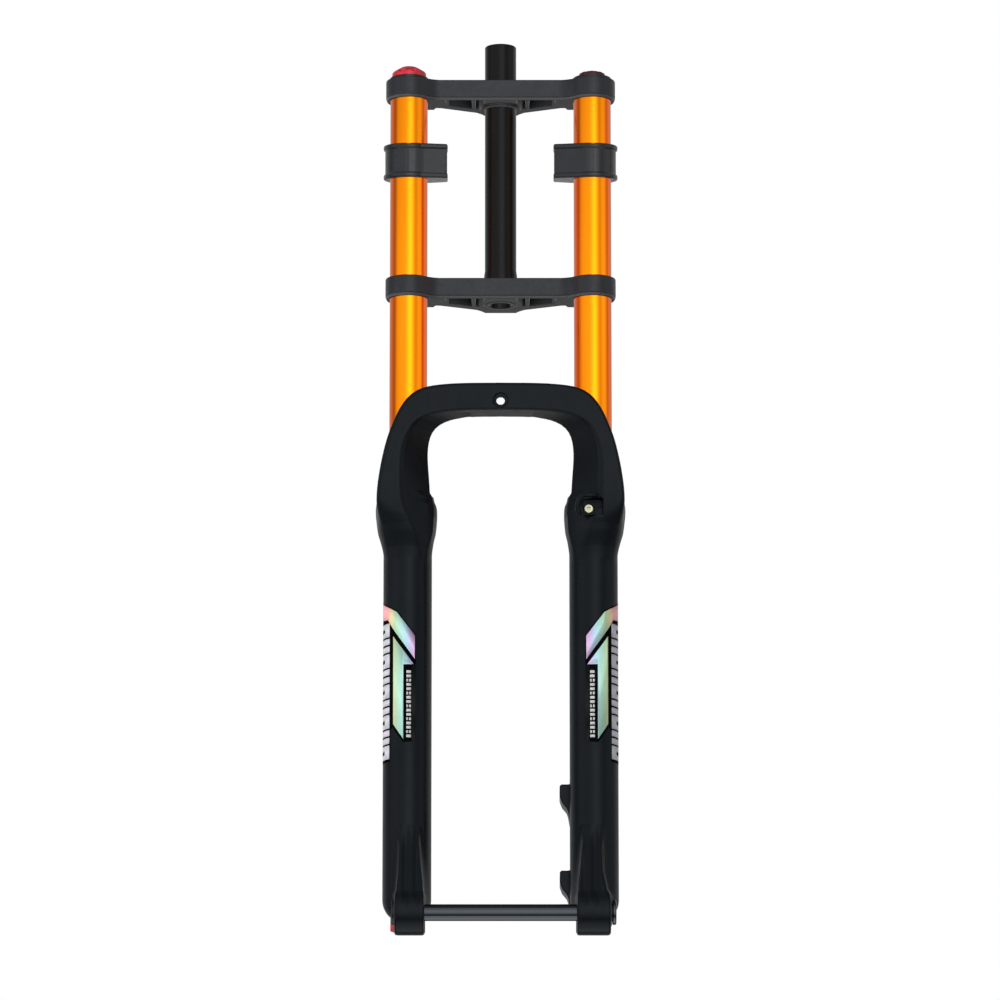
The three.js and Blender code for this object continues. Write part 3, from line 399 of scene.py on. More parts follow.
class Nodes:
    """A node tree being put together."""

    def __init__(self, tree):
        self.tree = tree

    def add(self, kind, **settings):
        node = self.tree.nodes.new(kind)
        for key, value in settings.items():
            setattr(node, key, value)
        return node

    def feed(self, value, target):
        """Links a socket to an input, or sets the input to a number or a colour."""
        if isinstance(value, bpy.types.NodeSocket):
            self.tree.links.new(value, target)
        else:
            target.default_value = (*value, 1) if isinstance(value, tuple) else value

    def maths(self, operation, *terms, **settings):
        node = self.add("ShaderNodeMath", operation=operation, **settings)
        for term, target in zip(terms, node.inputs):
            self.feed(term, target)
        return node.outputs[0]

    def parts(self, vector):
        """The x, y and z of a vector."""
        node = self.add("ShaderNodeSeparateXYZ")
        self.feed(vector, node.inputs[0])
        return node.outputs

    def ranged(self, source, low, high, floor=0.3, ceiling=0.7):
        """Values between floor and ceiling, mapped to low and high."""
        node = self.add("ShaderNodeMapRange")
        for value, target in zip((source, floor, ceiling, low, high), node.inputs):
            self.feed(value, target)
        return node.outputs["Result"]

    def mixed(self, factor, first, second, blend="MIX"):
        """Two colours mixed by a factor."""
        node = self.add("ShaderNodeMix", data_type="RGBA", blend_type=blend)
        for value, index in ((factor, 0), (first, 6), (second, 7)):
            self.feed(value, node.inputs[index])
        return node.outputs[2]

    def ramp(self, source, stops):
        """A colour looked up between (position, colour) stops."""
        node = self.add("ShaderNodeValToRGB")
        elements = node.color_ramp.elements
        while len(elements) < len(stops):
            elements.new(0.5)
        for element, (position, colour) in zip(elements, stops):
            element.position = position
            element.color = (*colour, 1)
        self.feed(source, node.inputs["Fac"])
        return node.outputs["Color"]

    def mix_shaders(self, factor, first, second):
        """Shows the first shader where the factor is zero and the second where it is one."""
        node = self.add("ShaderNodeMixShader")
        for value, target in zip((factor, first, second), node.inputs):
            self.feed(value, target)
        return node.outputs[0]


class Look(Nodes):
    """A material being put together. A grain is (blob size in mm, detail) and perhaps a stretch."""

    def __init__(self, name):
        self.material = bpy.data.materials.new(name)
        self.material.use_nodes = True
        super().__init__(self.material.node_tree)
        self.shader = self.tree.nodes["Principled BSDF"]
        self.place = self.add("ShaderNodeTexCoord").outputs["Object"]

    def noise(self, size_mm, detail, stretch=None):
        """Noise whose blobs are about size_mm across, run out along the axes stretched by less than one."""
        place = self.place
        if stretch:
            mapping = self.add("ShaderNodeMapping")
            mapping.inputs["Scale"].default_value = stretch
            self.feed(place, mapping.inputs["Vector"])
            place = mapping.outputs["Vector"]
        node = self.add("ShaderNodeTexNoise")
        node.inputs["Scale"].default_value = 1 / (size_mm * MM)
        node.inputs["Detail"].default_value = detail
        self.feed(place, node.inputs["Vector"])
        return node.outputs["Fac"]

    def wandering(self, grain, low, high):
        """A value that wanders between two with a grain."""
        return self.ranged(self.noise(*grain), low, high)

    def mottled(self, grain, dark, light):
        """A colour that wanders between two with a grain."""
        return self.mixed(self.wandering(grain, 0, 1), dark, light)

    def upward(self):
        """How far the surface faces up, from minus one to one."""
        return self.parts(self.add("ShaderNodeNewGeometry").outputs["Normal"])["Z"]

    def grazing(self):
        """Zero where the surface faces the eye, one where it turns away."""
        return self.add("ShaderNodeLayerWeight").outputs["Facing"]

    def bumped(self, *layers):
        """Roughens the surface with (grain, depth in mm) layers, one on another."""
        normal = None
        for grain, depth in layers:
            node = self.add("ShaderNodeBump")
            node.inputs["Distance"].default_value = depth * MM
            node.inputs["Strength"].default_value = 1
            self.feed(self.noise(*grain), node.inputs["Height"])
            if normal is not None:
                self.feed(normal, node.inputs["Normal"])
            normal = node.outputs["Normal"]
        self.feed(normal, self.shader.inputs["Normal"])

    def set(self, **values):
        """Sets inputs of the surface shader by name."""
        for key, value in values.items():
            self.feed(value, self.shader.inputs[key.replace("_", " ").title().replace("Ior", "IOR")])


def textured(name, tone, rough, *bumps, **settings):
    """A look whose colour, roughness and bumps each follow a grain."""
    look = Look(name)
    look.set(base_color=look.mottled(*tone), roughness=look.wandering(*rough), **settings)
    look.bumped(*bumps)
    return look.material


def painted_casting():
    """Satin black paint over a cast surface: faint orange peel, soft patches, blue-green tint."""
    tone = ((38, 2), (0.0034, 0.0049, 0.0066), (0.005, 0.0066, 0.0086))
    finish = {"specular_ior_level": 0.1, "specular_tint": (0.86, 0.96, 1)}
    bumps = (((1.6, 2), 0.02), ((0.35, 2), 0.004))
    return textured("satin_black_paint", tone, ((9, 4), 0.27, 0.35), *bumps, **finish)


def anodised_crown():
    """Charcoal anodising with a fine blasted grain, a painted highlight on its downward-leaning lower edge
    and painted shade in its pockets.
    """
    look = Look("charcoal_anodising")
    colour = look.mottled((22, 3), (0.0115, 0.0127, 0.0155), (0.0165, 0.0178, 0.021))
    # Painted highlight: the lower edge is coloured lighter where its surface leans downwards.
    leaning = look.ranged(look.upward(), 0, 1, -1, 0)
    off, on = (0, 0, 0), (1, 1, 1)
    lip = look.ramp(leaning, [(0.42, off), (0.5, on), (0.68, on), (0.78, off)])
    colour = look.mixed(lip, colour, (0.075, 0.077, 0.083))
    # Painted shade: ambient occlusion darkens the colour and the shine in the pockets and corners.
    recess = look.add("ShaderNodeAmbientOcclusion", samples=6, only_local=True)
    recess.inputs["Distance"].default_value = 16 * MM
    openness = look.maths("POWER", recess.outputs["AO"], 1.6)
    look.set(base_color=look.mixed(openness, (0.001, 0.001, 0.001), colour), metallic=0.3)
    look.set(specular_ior_level=look.maths("MULTIPLY", openness, 0.36))
    look.set(roughness=look.wandering((3, 4), 0.32, 0.44))
    look.bumped(((0.3, 3), 0.012))
    return look.material


def anodised_tube():
    """Polished orange-gold anodising with hair-fine lines round the tube, and painted shade that makes it
    redder and a little darker where it turns away from the eye.
    """
    look = Look("gold_anodising")
    rings = (1, 2, (0.02, 0.02, 4))
    streaks = (14, 3, (1, 1, 0.08))
    colour = look.mottled(streaks, (0.92, 0.255, 0.004), (0.97, 0.28, 0.006))
    # Painted shade: the colour turns redder and a little darker where the tube turns away from the eye.
    edge = look.ramp(look.grazing(), [(0.22, (1, 1, 1)), (0.4, (0.95, 0.55, 1)), (1, (0.9, 0.6, 4))])
    look.set(base_color=look.mixed(1, colour, edge, "MULTIPLY"), metallic=1.0)
    look.set(roughness=look.wandering(rings, 0.16, 0.24))
    look.bumped((rings, 0.0012))
    return look.material


def black_tube():
    """Satin black anodising on a drawn tube."""
    tone = ((5, 3, (1, 1, 0.05)), (0.002, 0.002, 0.0022), (0.004, 0.004, 0.0043))
    return textured("steerer_black", tone, ((4, 3), 0.2, 0.28), ((0.4, 2), 0.004), specular_ior_level=0.14)


def moulded_rubber(name, dark, light, roughness=0.62, shine=0.25):
    """Moulded rubber with a fine matt texture and a little dust."""
    rough = ((5, 3), roughness - 0.08, roughness + 0.08)
    bumps = (((0.5, 3), 0.02), ((0.16, 2), 0.008))
    return textured(name, ((12, 5), dark, light), rough, *bumps, specular_ior_level=shine)


def anodised_metal(name, dark, light, roughness=0.3, metallic=0.85, turned=True):
    """Coloured or plain metal with turning marks."""
    marks = (0.8, 3, (0.5, 0.5, 3)) if turned else (0.8, 3)
    rough = (marks, roughness - 0.06, roughness + 0.08)
    return textured(name, ((7, 3), dark, light), rough, (marks, 0.003), metallic=metallic)


CRIMSON = ((0.5, 0.014, 0.03), (0.62, 0.026, 0.05))


def shaded_red():
    """Crimson anodising with painted light and shade: near black on the walls and red on the edges that lean
    upwards.
    """
    look = Look("shaded_crimson")
    shaded_walls = look.mottled((5, 3), (0.03, 0.003, 0.006), (0.05, 0.004, 0.009))
    # Painted light: faces that lean upwards get the lit crimson, and the walls get the near-black painted
    # shade.
    edges = look.ramp(look.upward(), [(0.15, (0, 0, 0)), (0.5, (1, 1, 1))])
    look.set(base_color=look.mixed(edges, shaded_walls, look.mottled((5, 3), *CRIMSON)), metallic=0.45)
    look.set(roughness=look.wandering((0.8, 3), 0.3, 0.44))
    look.bumped(((0.8, 3), 0.003))
    return look.material


def gloss_axle():
    """Gloss black with a cool sheen."""
    tone = ((16, 3), (0.001, 0.0012, 0.0016), (0.003, 0.0034, 0.0045))
    sheen = {"specular_tint": (0.75, 0.87, 1), "coat_weight": 0.3, "coat_roughness": 0.08}
    return textured("gloss_black", tone, ((3, 3), 0.1, 0.16), ((0.9, 2), 0.002), **sheen)


def foam():
    """Open oil-soaked foam."""
    cells = (0.8, 4)
    tone = (cells, (0.02, 0.02, 0.018), (0.08, 0.078, 0.07))
    return textured("oil_foam", tone, (cells, 0.85, 1.0), (cells, 0.2))


def bushing_lining():
    """Woven bearing liner."""
    weave = (0.5, 3)
    tone = (weave, (0.1, 0.11, 0.07), (0.17, 0.18, 0.12))
    return textured("bushing_lining", tone, (weave, 0.45, 0.6), (weave, 0.01), metallic=0.25)


# Colours of the foil across a leg, from its outer edge to its inner edge.
FOIL = [
    (0.00, (0.84, 0.36, 0.40)),
    (0.14, (0.86, 0.44, 0.40)),
    (0.24, (0.82, 0.68, 0.38)),
    (0.36, (0.46, 0.68, 0.42)),
    (0.50, (0.42, 0.72, 0.60)),
    (0.62, (0.44, 0.72, 0.78)),
    (0.74, (0.52, 0.58, 0.82)),
    (0.84, (0.70, 0.46, 0.76)),
    (1.00, (0.85, 0.48, 0.68)),
]


def foil():
    """Rainbow foil: its hue runs across the leg and wanders a little with height."""
    look = Look("rainbow_foil")
    side = look.maths("ABSOLUTE", look.parts(look.place)["X"])
    across = look.ranged(side, 1, 0, (LEG_X - 10) * MM, (LEG_X + LEG_RADIUS) * MM)
    hue = look.maths("ADD", across, look.wandering((26, 2), -0.03, 0.03), use_clamp=True)
    look.set(base_color=look.ramp(hue, FOIL), metallic=0.15, coat_weight=0.3)
    look.set(roughness=look.wandering((1.2, 3), 0.26, 0.38))
    look.bumped(((0.5, 2), 0.002))
    return look.material


def vinyl(name, dark, light, shine):
    """Printed vinyl film, nearly even in colour."""
    rough = ((2, 3), 0.3, 0.42)
    return textured(name, ((6, 3), dark, light), rough, ((0.7, 2), 0.002), specular_ior_level=shine)


PAINT = painted_casting()
CROWN = anodised_crown()
GOLD = anodised_tube()
STEERER = black_tube()
BUMPER_RUBBER = moulded_rubber("bumper_rubber", (0.005, 0.006, 0.0085), (0.008, 0.0092, 0.012), 0.2, 0.36)
SEAL_RUBBER = moulded_rubber("seal_rubber", (0.012, 0.012, 0.013), (0.03, 0.03, 0.03))
RING_RUBBER = moulded_rubber("ring_rubber", (0.3, 0.04, 0.02), (0.42, 0.07, 0.04))
RED = anodised_metal("red_anodising", *CRIMSON, 0.36, 0.45)
SHADED_RED = shaded_red()
STEEL = anodised_metal("ground_steel", (0.5, 0.49, 0.46), (0.66, 0.65, 0.62), 0.26, 1.0)
BLACK_STEEL = anodised_metal("black_steel", (0.012, 0.012, 0.013), (0.03, 0.03, 0.03), 0.36, 0.7)
ALUMINIUM = anodised_metal("machined_aluminium", (0.58, 0.58, 0.59), (0.7, 0.7, 0.71), 0.3, 1.0)
BRASS = anodised_metal("turned_brass", (0.55, 0.35, 0.09), (0.7, 0.48, 0.16), 0.28, 1.0)
PALE_SCREW = anodised_metal("pale_screw", (0.3, 0.3, 0.21), (0.44, 0.43, 0.31), 0.3, 0.9, False)
GLOSS = gloss_axle()
FOAM = foam()
LINING = bushing_lining()
FOIL_LOOK = foil()
BLACK_VINYL = vinyl("black_vinyl", (0.001, 0.001, 0.001), (0.002, 0.002, 0.002), 0.02)
GREY_VINYL = vinyl("grey_vinyl", (0.004, 0.0065, 0.0055), (0.007, 0.0095, 0.0085), 0.1)
WHITE_VINYL = vinyl("white_vinyl", (0.55, 0.55, 0.56), (0.66, 0.66, 0.66), 0.2)
SILVER_VINYL = vinyl("silver_vinyl", (0.42, 0.5, 0.46), (0.62, 0.53, 0.66), 0.3)

# ------------------------------------------------------------------ lower casting

COLLAR_RADIUS = 26
COLLAR_TOP = WIPER_TOP - 4.5
COLLAR_BORE = 21
SHOULDER_TOP = 401
LEG_BORE = 18.6
ARCH_TOP = 501
ARCH_FRONT = -42
ARCH_REAR = -12
OPENING_TOP = 475.3
TAPER_REAR = -16
CROWN_GAP = 0.7
FENDER_HOLE_Z = 484
FENDER_HOLE = 3.75

LEG_PROFILE = [
    (0, FOOT_Z),
    (14.5, FOOT_Z),
    (14.5, 20.2),
    *[(5.8 + 16 * math.cos(a), 36 + 19 * math.sin(a)) for a in np.linspace(-0.99, 0, 9)],
    *through([(LEG_RADIUS, 352), (22.3, 361), (24.7, 372), (COLLAR_RADIUS, 384)], 10),
    (COLLAR_RADIUS, COLLAR_TOP),
    (0, COLLAR_TOP),
]
ARCH_OUTLINE = mirrored(
    [
        *through(
            [
                (0, ARCH_TOP), (40, 500.4), (65.5, 497.5), (79, 491.5), (88, 481.5), (95.5, 467),
                (103, 446), (108.8, 419), (111.3, 395), (109.4, 373), (LEG_X + LEG_RADIUS, 345),
            ],
            44,
        ),
        (LEG_X + LEG_RADIUS, 320),
        (0, 320),
    ]
)
OPENING = mirrored(
    [
        *through(
            [(0, OPENING_TOP), (30, 474.5), (50, 470), (61.5, 460), (65.5, 442), (64, 412), (62, 380)], 30
        ),
        (62, 300),
        (0, 300),
    ]
)
ARCH_SIDE = [
    *through(
        [(-19, 330), (-24, 350), (-30.5, 367), (-37.5, 396), (-41, 430), (ARCH_FRONT, 472), (-40.5, 503)], 20
    ),
    (ARCH_REAR, 503),
    (ARCH_REAR, COLLAR_TOP + 4),
    (-4, COLLAR_TOP - 2),
    (-4, 330),
]
# How far out from a leg's axis the arch may reach at each height, so that it runs out into the leg.
FADE = [
    (0, 300), (LEG_RADIUS - 1, 336), (25, 354), (34, 373), (48, 390), (75, 408), (120, 424), (120, 540),
    (0, 540),
]
DROPOUT_SIDE = [
    (-LEG_RADIUS + 2.5, 100),
    *arc(AXLE_Y, AXLE_Z, DROPOUT_RADIUS, 164, 342, 24),
    (2, 26),
    (2, 100),
]
# Two shallow grooves down the front of each rib, at these distances from the fork's middle.
RIB_FLUTES = (74.2, 83.8)
FLUTE_RADIUS, FLUTE_DEPTH = 4.5, 1.5
# Height of the bolt hole and of the flat top of each brake post.
BRAKE_POSTS = ((132, 142), (58, 63.8))
POST_REAR = 33.5
POST_X = 62.5
POST_HOLE = 2.5
HOSE_X, HOSE_Z, HOSE_FLOOR = LEG_X - 4.5, 385.2, -29.5
FOOT_BORE = 5.4
KNOB_ROOM = 15.5


def leg_field(side, y, z):
    """Both legs with their collars, from the distance out to each leg's axis."""
    out = np.hypot(side - LEG_X, y)
    plain_low, plain_high = 50, 345
    if z.min() > plain_low and z.max() < plain_high:
        return out - LEG_RADIUS
    return outline(LEG_PROFILE, out, z)


def arch_field(x, side, y, z):
    """The arch: one outline from the front, one from the side, and the wheel opening."""
    body = soft_max(outline(ARCH_OUTLINE, x, z), outline(ARCH_SIDE, y, z), 4)
    below_corner = np.clip(455 - z, 0, 65)
    widening = 0.3 + 0.0033 * below_corner
    ahead = np.clip(TAPER_REAR - y, 0, None) / (TAPER_REAR - ARCH_FRONT)
    body = carve(body, outline(OPENING, x / (1 + widening * ahead), z), 2.6)
    fade = outline(FADE, np.hypot(side - LEG_X, y), z)
    return soft_max(body, fade, 6)


def arch_hollows(side, y, z):
    """Ribbed hollows in the back of the arch, behind its front web."""
    pitch, half = 17, 7.3
    cells = []
    for i in range(3):
        low, high = OPENING_TOP + 4 - 1.8 * i, ARCH_TOP - 3.6 - 1.2 * i
        cells.append(box_field(side - i * pitch, y, z, (-half, ARCH_FRONT + 7.5, low), (half, 0, high), 3))
    return np.minimum.reduce(cells)


def dropout_field(side, y, z, outer):
    """Axle boss and the rib that carries it down from the leg."""
    boss = rod(y - AXLE_Y, z - AXLE_Z, side, DROPOUT_RADIUS, HUB_HALF, outer, 2.5)
    front = [(HUB_HALF, -4), (outer, -4), (outer, 28), (91.5, 56), (90, 98), (74, 98), (HUB_HALF + 1, 44)]
    profile = outline(DROPOUT_SIDE, y, z)
    rib = soft_max(profile, outline(front, side, z), 4)
    fading = 0.3 * np.clip(AXLE_Z + 8 - z, 0, None)
    for across in RIB_FLUTES:
        flute = np.hypot(side - across, profile - FLUTE_RADIUS + FLUTE_DEPTH) - FLUTE_RADIUS + fading
        rib = carve(rib, flute, 1.5)
    return soft_min(boss, rib, 3)


def dropouts_field(x, side, y, z):
    """Both dropouts: the air side reaches further out, for the head of the axle."""
    air = dropout_field(side, y, z, AIR_BOSS_X)
    damper = dropout_field(side, y, z, DAMPER_BOSS_X)
    return np.where(x > 0, air, damper)


def post_field(x, y, z, top):
    """A brake post: a flat-topped tab behind the leg with a curved underside."""
    tab = [
        (80, top),
        (54.2, top),
        (52.8, top - 1.4),
        *through([(52.8, top - 11), (55, top - 17), (59.5, top - 23), (61.8, top - 34)], 9),
        (80, top - 36),
    ]
    return soft_max(outline(tab, x, z), slab(y, 7, POST_REAR), 1.2)


def hose_pocket(x, y, z):
    """A pocket for the hose clip, open towards its outer side."""
    u, w = x - HOSE_X, z - HOSE_Z
    around = np.hypot(u + 0.2, w) - 6.8
    above = soft_max(slab(u, -5.5, 12.6), slab(w, 2, 10.4), 4)
    beside = soft_max(slab(u, 2, 12.6), slab(w, -5.6, 9), 1.5)
    plan = soft_min(soft_min(around, above, 1.5), beside, 1.5)
    deep = soft_max(above, y - HOSE_FLOOR - 3.5, 1)
    return soft_min(soft_max(plan, y - HOSE_FLOOR, 1), deep, 0.5)


def hose_lip(x, y, z):
    """A raised crescent on the casting, above and inside the pocket."""
    u, w = x - HOSE_X, z - HOSE_Z
    surface = -34.8 - 0.25 * w
    ring = np.hypot(np.hypot(u - 0.6, w - 1.4) - 10.6, y - surface) - 2.3
    return soft_max(ring, (u - w) * 0.7071 + 1, 3)


def lowers_field(x, y, z):
    """The one-piece lower casting."""
    side = np.abs(x)
    out = np.hypot(side - LEG_X, y)
    body = leg_field(side, y, z)
    low, high = z.min(), z.max()
    if high > 325:
        fillet = 0.5 + 8.5 * np.clip((z - 342) / 26, 0, 1)
        body = soft_min(body, arch_field(x, side, y, z), fillet)
    if low < 100:
        body = soft_min(body, dropouts_field(x, side, y, z), 5)
        hub = box_field(side, y, z, (0, -80, -9), (HUB_HALF, -LEG_RADIUS + 1, 47), 1)
        body = carve(body, hub, 1)
        knob = rod(side - LEG_X, y, z, KNOB_ROOM, -9, FOOT_Z, 0.5)
        body = carve(body, knob, 0.6)
        axle = np.hypot(y - AXLE_Y, z - AXLE_Z)
        body = carve(body, axle - AXLE_RADIUS - 0.4, 0.8)
        sleeve = soft_max(axle - 10.1, x + DAMPER_BOSS_X - 14, 0.5)
        body = carve(body, sleeve, 0.6)
    for bolt, top in BRAKE_POSTS:
        if low < top + 12 and high > top - 50:
            body = soft_min(body, post_field(x, y, z, top), 3.5)
            hole = rod(x - POST_X, z - bolt, y, POST_HOLE, POST_REAR - 16, POST_REAR + 9, 0.4)
            body = carve(body, hole, 0.5)
    if high > 360:
        shield = soft_max(out - COLLAR_RADIUS, soft_max(slab(z, 386, SHOULDER_TOP), y + 10.5, 1), 2.5)
        body = soft_min(body, shield, 5)
        crown_path = soft_max(outline(CROWN_PLAN, x, y) - CROWN_GAP, WIPER_TOP + 0.5 - z, 0.4)
        wiper_room = soft_max(out - COLLAR_RADIUS + 1.7, slab(z, COLLAR_TOP, WIPER_TOP + 1), 0.4)
        body = carve(body, np.minimum(crown_path, wiper_room), 0.6)
        body = carve(body, arch_hollows(side, y, z), 1.5)
        hole = np.hypot(x, z - FENDER_HOLE_Z)
        sink = soft_max(hole - FENDER_HOLE - 3, y - (ARCH_FRONT + 2.6), 0.8)
        body = carve(body, soft_min(hole - FENDER_HOLE, sink, 0.6), 0.8)
        body = soft_min(body, hose_lip(x, y, z), 1.5)
        body = carve(body, hose_pocket(x, y, z), 0.8)
        screw_hole = soft_max(np.hypot(x - HOSE_X, z - HOSE_Z) - 2.1, y - (HOSE_FLOOR + 6), 0.3)
        body = carve(body, screw_hole, 0.3)
    bore = np.maximum(out - LEG_BORE, 27 - z)
    if high > 365:
        bore = np.minimum(bore, np.maximum(out - COLLAR_BORE, COLLAR_TOP - 14 - z))
    if low < 30:
        bore = np.minimum(bore, out - FOOT_BORE)
    return carve(body, bore, 0.5)


def build_lowers():
    """The lower casting, on a grid that is coarse where the legs are plain."""
    step = 1.25
    reach = AIR_BOSS_X + 18
    grid = (
        lines((-reach, -51, step), (-51, 51, 2.4), (51, reach, step)),
        lines((-49, 36, step)),
        lines((-2, 92, step), (92, 106, 2), (106, 146, step), (146, 330, 4.5), (330, 504, step)),
    )
    sculpt("lowers", lowers_field, grid, PAINT, "lower_assembly", "lowers_casting")


# ------------------------------------------------------------------ crowns

CLAMP_RADIUS = 21
CROWN_FACE = -8
SWEEP = 22
PINCH_X = LEG_X - 15.5
PINCH_Y = 20.8
EAR_OUTER, EAR_INNER, EAR_REAR = PINCH_X + 6, PINCH_X - 7, PINCH_Y + 4.6
CROWN_REAR = 46
BOLT_SHANK, BOLT_HEAD, BOLT_HOLE, BOLT_SOCKET = 2.5, 4, 2.7, 4
BOLT_SEAT = PINCH_X + 4
LIP_HEIGHT, LIP_DEPTH = 2.5, 1.2
STEERER_BOLT_Y = STEERER_Y + STEERER_RADIUS + 4.6
STEERER_BOLT_SEAT = 8


def crown_plan():
    """Outline of a crown from above."""
    reach, drop = CLAMP_RADIUS + SWEEP, CROWN_FACE - SWEEP
    sweep_x = LEG_X - math.sqrt(reach**2 - drop**2)
    meet = math.degrees(math.atan2(-drop, LEG_X - sweep_x))
    return mirrored(
        [
            (0, CROWN_FACE),
            *arc(sweep_x, drop, SWEEP, 90, meet, 9),
            *arc(LEG_X, 0, CLAMP_RADIUS, meet + 180, 464, 40)[1:],
            (EAR_OUTER, EAR_REAR),
            (EAR_INNER, EAR_REAR),
            (EAR_INNER - 2, EAR_REAR - 5.9),
            (EAR_INNER - 6.5, EAR_REAR - 5.4),
            (22, CROWN_REAR - 11),
            (18, CROWN_REAR - 6.5),
            (14, CROWN_REAR),
            (0, CROWN_REAR),
        ]
    )


CROWN_PLAN = crown_plan()
OUTER_POCKET = [(26, -5.4), (51, -5.4), (49.5, 6), (47, 12.5), (26, 21.5)]
INNER_POCKET = [(13.5, -5.4), (23, -5.4), (23, 21.5), (19.8, 21.5), (15.5, 8)]
RACE_RADIUS = 15


def crown_field(bottom, steerer_hole, upper):
    """A crown whose underside is at this height."""
    top = bottom + LOWER_CROWN[1] - LOWER_CROWN[0]
    bolt_z = (bottom + top) / 2

    def field(x, y, z):
        side = np.abs(x)
        plan = outline(CROWN_PLAN, x, y)
        body = soft_max(plan, slab(z, bottom, top), 0.7)
        lip = plan * LIP_HEIGHT + (bottom + LIP_HEIGHT - z) * LIP_DEPTH
        lip = lip / math.hypot(LIP_HEIGHT, LIP_DEPTH)
        square_rear = np.maximum(side - EAR_OUTER, EAR_REAR - 9 - y)
        body = soft_max(body, np.minimum(lip, square_rear), 0.3)
        groove = np.hypot(plan, z - bottom - LIP_HEIGHT - 0.3) - 0.45
        body = carve(body, np.maximum(groove, -square_rear), 0.2)
        depth = z - bottom - 13
        for pocket in (OUTER_POCKET, INNER_POCKET):
            tool = soft_max(outline(pocket, side, y) + 0.06 * (z - bottom), depth, 2.5)
            body = carve(body, tool, 0.6)
        if upper:
            boss = rod(x, y - STEERER_Y, z, STEERER_RADIUS + 4, bottom - 2.5, bottom + 6, 0.8)
            body = soft_min(body, boss, 2)
            slot = box_field(x, y, z, (-0.8, STEERER_Y, bottom - 9), (0.8, 60, top + 9), 0.1)
            body = carve(body, slot, 0.3)
            across = np.hypot(y - STEERER_BOLT_Y, z - bolt_z)
            body = carve(body, np.maximum(across - BOLT_HOLE, slab(x, -11, 20)), 0.3)
            body = carve(body, np.maximum(across - BOLT_HEAD - 0.2, STEERER_BOLT_SEAT - x), 0.4)
        body = carve(body, np.hypot(x, y - STEERER_Y) - steerer_hole, 0.6)
        body = carve(body, np.hypot(side - LEG_X, y) - TUBE_RADIUS - 0.08, 0.6)
        slot = np.maximum(np.abs(side - PINCH_X) - 0.8, 4 - y)
        body = carve(body, slot, 0.4)
        across = np.hypot(y - PINCH_Y, z - bolt_z)
        body = carve(body, np.maximum(across - BOLT_HOLE, slab(side, PINCH_X - 12.2, PINCH_X + 5)), 0.3)
        head = np.maximum(across - BOLT_HEAD - 0.2, BOLT_SEAT - side)
        head = np.maximum(head, TUBE_RADIUS + 1.2 - np.hypot(side - LEG_X, y))
        return carve(body, head, 0.4)

    return field


def build_crowns():
    """Both crowns, with their edges on a finer grid."""
    fine, step, coarse = 0.4, 0.8, 1.2
    for name, (bottom, top), hole, upper in (
        ("lower_crown", LOWER_CROWN, RACE_RADIUS + 0.05, False),
        ("upper_crown", UPPER_CROWN, STEERER_RADIUS + 0.05, True),
    ):
        heights = lines(
            (bottom - 4, bottom + 5, fine), (bottom + 5, top - 2, coarse), (top - 2, top + 1.6, fine)
        )
        grid = (lines((-107, 107, step)), lines((-23, CROWN_REAR + 2, step)), heights)
        field = crown_field(bottom, hole, upper)
        made = sculpt(name, field, grid, CROWN, "crown_assembly", f"{name}_forging")
        made.visible_glossy = False


# ------------------------------------------------------------------ bumpers

BUMPER_Z = middle("frame_bumper_air", 2)
BUMPER_HALF = 15.65
BUMPER_TILT = math.radians(7)
RIM_HEIGHT, RIM_RADIUS, CHANNEL_RADIUS = 4.6, 23, 21.6
PAD_REACH, PAD_CORNER = 35.4, 2.5
PAD_FRONT, PAD_REAR = -15, 11
PAD = [
    (0, -CHANNEL_RADIUS),
    (6, -CHANNEL_RADIUS + 0.3),
    *arc(PAD_REACH - PAD_CORNER, PAD_FRONT + PAD_CORNER, PAD_CORNER, -90, 0, 5),
    *arc(PAD_REACH - PAD_CORNER, PAD_REAR - PAD_CORNER, PAD_CORNER, 0, 90, 5),
    (10, 18.6),
    (0, CHANNEL_RADIUS),
]


def bumper_field(x, y, z):
    """A rubber block that wraps a stanchion and reaches in towards the frame, with raised rims."""
    inward = LEG_X - x
    bore = np.hypot(inward, y) - TUBE_RADIUS - 0.06
    split = np.maximum(np.abs(y) - 0.4, inward + 10)
    along = y * math.cos(BUMPER_TILT) + (z - BUMPER_Z) * math.sin(BUMPER_TILT)
    up = (z - BUMPER_Z) * math.cos(BUMPER_TILT) - y * math.sin(BUMPER_TILT)
    plan = soft_min(np.hypot(inward, along) - CHANNEL_RADIUS, outline(PAD, inward, along) + 0.6, 2)
    body = soft_max(plan, slab(up, -BUMPER_HALF, BUMPER_HALF), 0.8)
    wide = np.minimum(np.hypot(inward, along) - RIM_RADIUS, outline(PAD, inward, along))
    rim = soft_max(wide, slab(np.abs(up), BUMPER_HALF - RIM_HEIGHT, BUMPER_HALF), 1.6)
    body = soft_min(body, rim, 0.5)
    return carve(carve(body, bore, 0.8), split, 0.3)


def build_bumpers():
    """A frame bumper on each stanchion."""
    low, high = span("frame_bumper_air", 2)
    step = 0.7
    across = lines((LEG_X - PAD_REACH - 1.6, LEG_X + RIM_RADIUS + 1.5, step))
    for name, sign in LEGS.items():

        def field(x, y, z, sign=sign):
            return bumper_field(sign * x, y, z)

        grid = (np.sort(sign * across), lines((-24.5, 24.5, step)), lines((low - 1, high + 1, step)))
        node = f"frame_bumper_{name}"
        made = sculpt(node, field, grid, BUMPER_RUBBER, "crown_assembly", f"bumper_{name}")
        made.visible_glossy = False


# ------------------------------------------------------------------ turned parts

TUBE_BORE = TUBE_RADIUS - 1.8
PLUG = TUBE_BORE - 0.1
CROWN_TOP = UPPER_CROWN[1]
CAP_TOP = CROWN_TOP + 3
ROD = 5
LOOSE_FIT = 0.3


